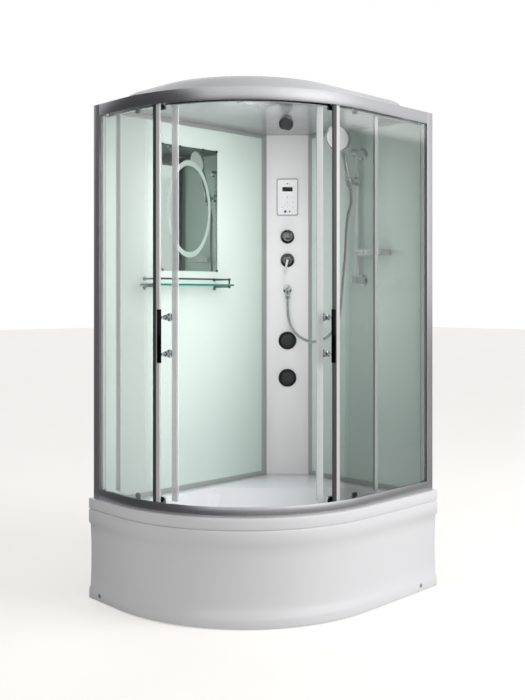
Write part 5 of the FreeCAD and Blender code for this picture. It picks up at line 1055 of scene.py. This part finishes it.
# the pale floor and the studio's lights stand apart from the object. Two large lamps light it from outside, four
# small ones inside light the long wall and the column, and power is in watts
studioPlan = {
    "floor": ("#eceae7", "#e4e2df"), "floorSize": 60, "floorDrift": 0.8, "floorRough": 0.6, "floorGlow": 0.55,
    "floorMirrored": "#939291", "shadeFrom": 0.35, "shadeTo": 0.8,
    "around": 0.43, "bright": "#f8f8f9", "dark": "#505052", "darkWay": (-0.85, 0.53, 0.0), "darkFrom": 0.60,
    "darkTo": 0.80, "light": "#f4f4f4", "lightWay": (0.12, -0.97, 0.2), "lightNarrow": 7,
}
lampPlans = {
    "keyLamp": {"power": 142, "place": (2.3, -4.3, 2.6), "aim": (0.1, -0.1, 0.9), "size": (2.6, 2.6)},
    "fillLamp": {"power": 19, "place": (-3.4, -3.4, 2.4), "aim": (0, 0, 1.1), "size": (2.4, 2.4)},
    "innerLamp": {"power": 2.9, "place": (-0.25, -0.17, 1.32), "aim": (-0.46, 0.45, 1.32), "size": (0.24, 1.48)},
    "upperLamp": {"power": 1.7, "place": (-0.18, -0.18, 1.84), "aim": (-0.34, 0.45, 1.84), "size": (0.24, 0.40)},
    "lowerLamp": {"power": 0.7, "place": (-0.20, -0.19, 0.76), "aim": (-0.44, 0.45, 0.76), "size": (0.24, 0.40)},
    "columnLamp": {"power": 2.6, "place": (0.02, -0.16, 1.50), "aim": (0.5, 0.33, 1.50), "size": (0.4, 1.1)},
}
startFresh()
bpy.ops.mesh.primitive_plane_add(size=studioPlan["floorSize"], location=(0, 0, 0))
floor = bpy.context.object
floor.name = "studioFloor"
floorPaint, shader, place = startFinish("floorPaint", {"Roughness": studioPlan["floorRough"]})
drift = addNode(
    floorPaint, "ShaderNodeTexNoise", {"Scale": studioPlan["floorDrift"], "Detail": 3.0}, {"Vector": place}
)
tone = addNode(
    floorPaint, "ShaderNodeMix",
    {"data_type": "RGBA", 6: fromHex(studioPlan["floor"][0]), 7: fromHex(studioPlan["floor"][1])},
    {0: drift.outputs["Fac"]},
)
rays = addNode(floorPaint, "ShaderNodeLightPath")
towards = addNode(
    floorPaint, "ShaderNodeVectorMath", {"operation": "DOT_PRODUCT", 1: studioPlan["darkWay"]}, {0: place}
)
share = addNode(
    floorPaint, "ShaderNodeMapRange",
    {"From Min": studioPlan["shadeFrom"], "From Max": studioPlan["shadeTo"], "interpolation_type": "SMOOTHSTEP"},
    {"Value": towards.outputs["Value"]},
)
shade = addNode(
    floorPaint, "ShaderNodeMix",
    {"data_type": "RGBA", 6: fromHex(studioPlan["floorMirrored"]), 7: fromHex(studioPlan["dark"])},
    {0: share.outputs[0]},
)
paint = addNode(
    floorPaint, "ShaderNodeMix", {"data_type": "RGBA"},
    {0: rays.outputs["Is Glossy Ray"], 6: tone.outputs[2], 7: shade.outputs[2]},
)
join(floorPaint, paint.outputs[2], shader.inputs["Base Color"])
glow = addNode(
    floorPaint, "ShaderNodeMath", {"operation": "MULTIPLY", 1: studioPlan["floorGlow"]},
    {0: rays.outputs["Is Camera Ray"]},
)
join(floorPaint, tone.outputs[2], shader.inputs["Emission Color"])
join(floorPaint, glow.outputs[0], shader.inputs["Emission Strength"])
floor.data.materials.append(floorPaint)

world = bpy.data.worlds.new("studioRoom")
scene.world = world
world.use_nodes = True
ground = world.node_tree.nodes["Background"]
rays = addNode(world, "ShaderNodeLightPath")
way = addNode(world, "ShaderNodeTexCoord")
towards = addNode(
    world, "ShaderNodeVectorMath", {"operation": "DOT_PRODUCT", 1: studioPlan["darkWay"]},
    {0: way.outputs["Generated"]},
)
share = addNode(
    world, "ShaderNodeMapRange",
    {"From Min": studioPlan["darkFrom"], "From Max": studioPlan["darkTo"], "interpolation_type": "SMOOTHSTEP"},
    {"Value": towards.outputs["Value"]},
)
mirrored = addNode(
    world, "ShaderNodeMix",
    {"data_type": "RGBA", 6: fromHex(studioPlan["bright"]), 7: fromHex(studioPlan["dark"])}, {0: share.outputs[0]},
)
near = addNode(
    world, "ShaderNodeVectorMath", {"operation": "DOT_PRODUCT", 1: studioPlan["lightWay"]},
    {0: way.outputs["Generated"]},
)
above = addNode(world, "ShaderNodeMath", {"operation": "MAXIMUM", 1: 0.0}, {0: near.outputs["Value"]})
lobe = addNode(
    world, "ShaderNodeMath", {"operation": "POWER", 1: studioPlan["lightNarrow"]}, {0: above.outputs[0]}
)
lit = addNode(
    world, "ShaderNodeMix", {"data_type": "RGBA", "blend_type": "ADD", 7: fromHex(studioPlan["light"])},
    {0: lobe.outputs[0], 6: mirrored.outputs[2]},
)
glossy = addNode(
    world, "ShaderNodeMix", {"data_type": "RGBA", 6: (studioPlan["around"],) * 3 + (1,)},
    {0: rays.outputs["Is Glossy Ray"], 7: lit.outputs[2]},
)
seen = addNode(
    world, "ShaderNodeMath", {"operation": "MAXIMUM"},
    {0: rays.outputs["Is Camera Ray"], 1: rays.outputs["Is Transmission Ray"]},
)
sky = addNode(
    world, "ShaderNodeMix", {"data_type": "RGBA", 7: fromHex("#ffffff")}, {0: seen.outputs[0], 6: glossy.outputs[2]}
)
join(world, sky.outputs[2], ground.inputs["Color"])

for name, plan in lampPlans.items():
    lampData = bpy.data.lights.new(name, "AREA")
    lampData.shape = "RECTANGLE"
    lampData.size, lampData.size_y = plan["size"]
    lampData.energy = plan["power"]
    lamp = bpy.data.objects.new(name, lampData)
    lamp.location = plan["place"]
    lamp.rotation_euler = (Vector(plan["aim"]) - Vector(plan["place"])).to_track_quat("-Z", "Y").to_euler()
    lamp.visible_camera = False
    lamp.visible_glossy = False
    scene.collection.objects.link(lamp)

scene.view_settings.view_transform = "Standard"
print("studio set")
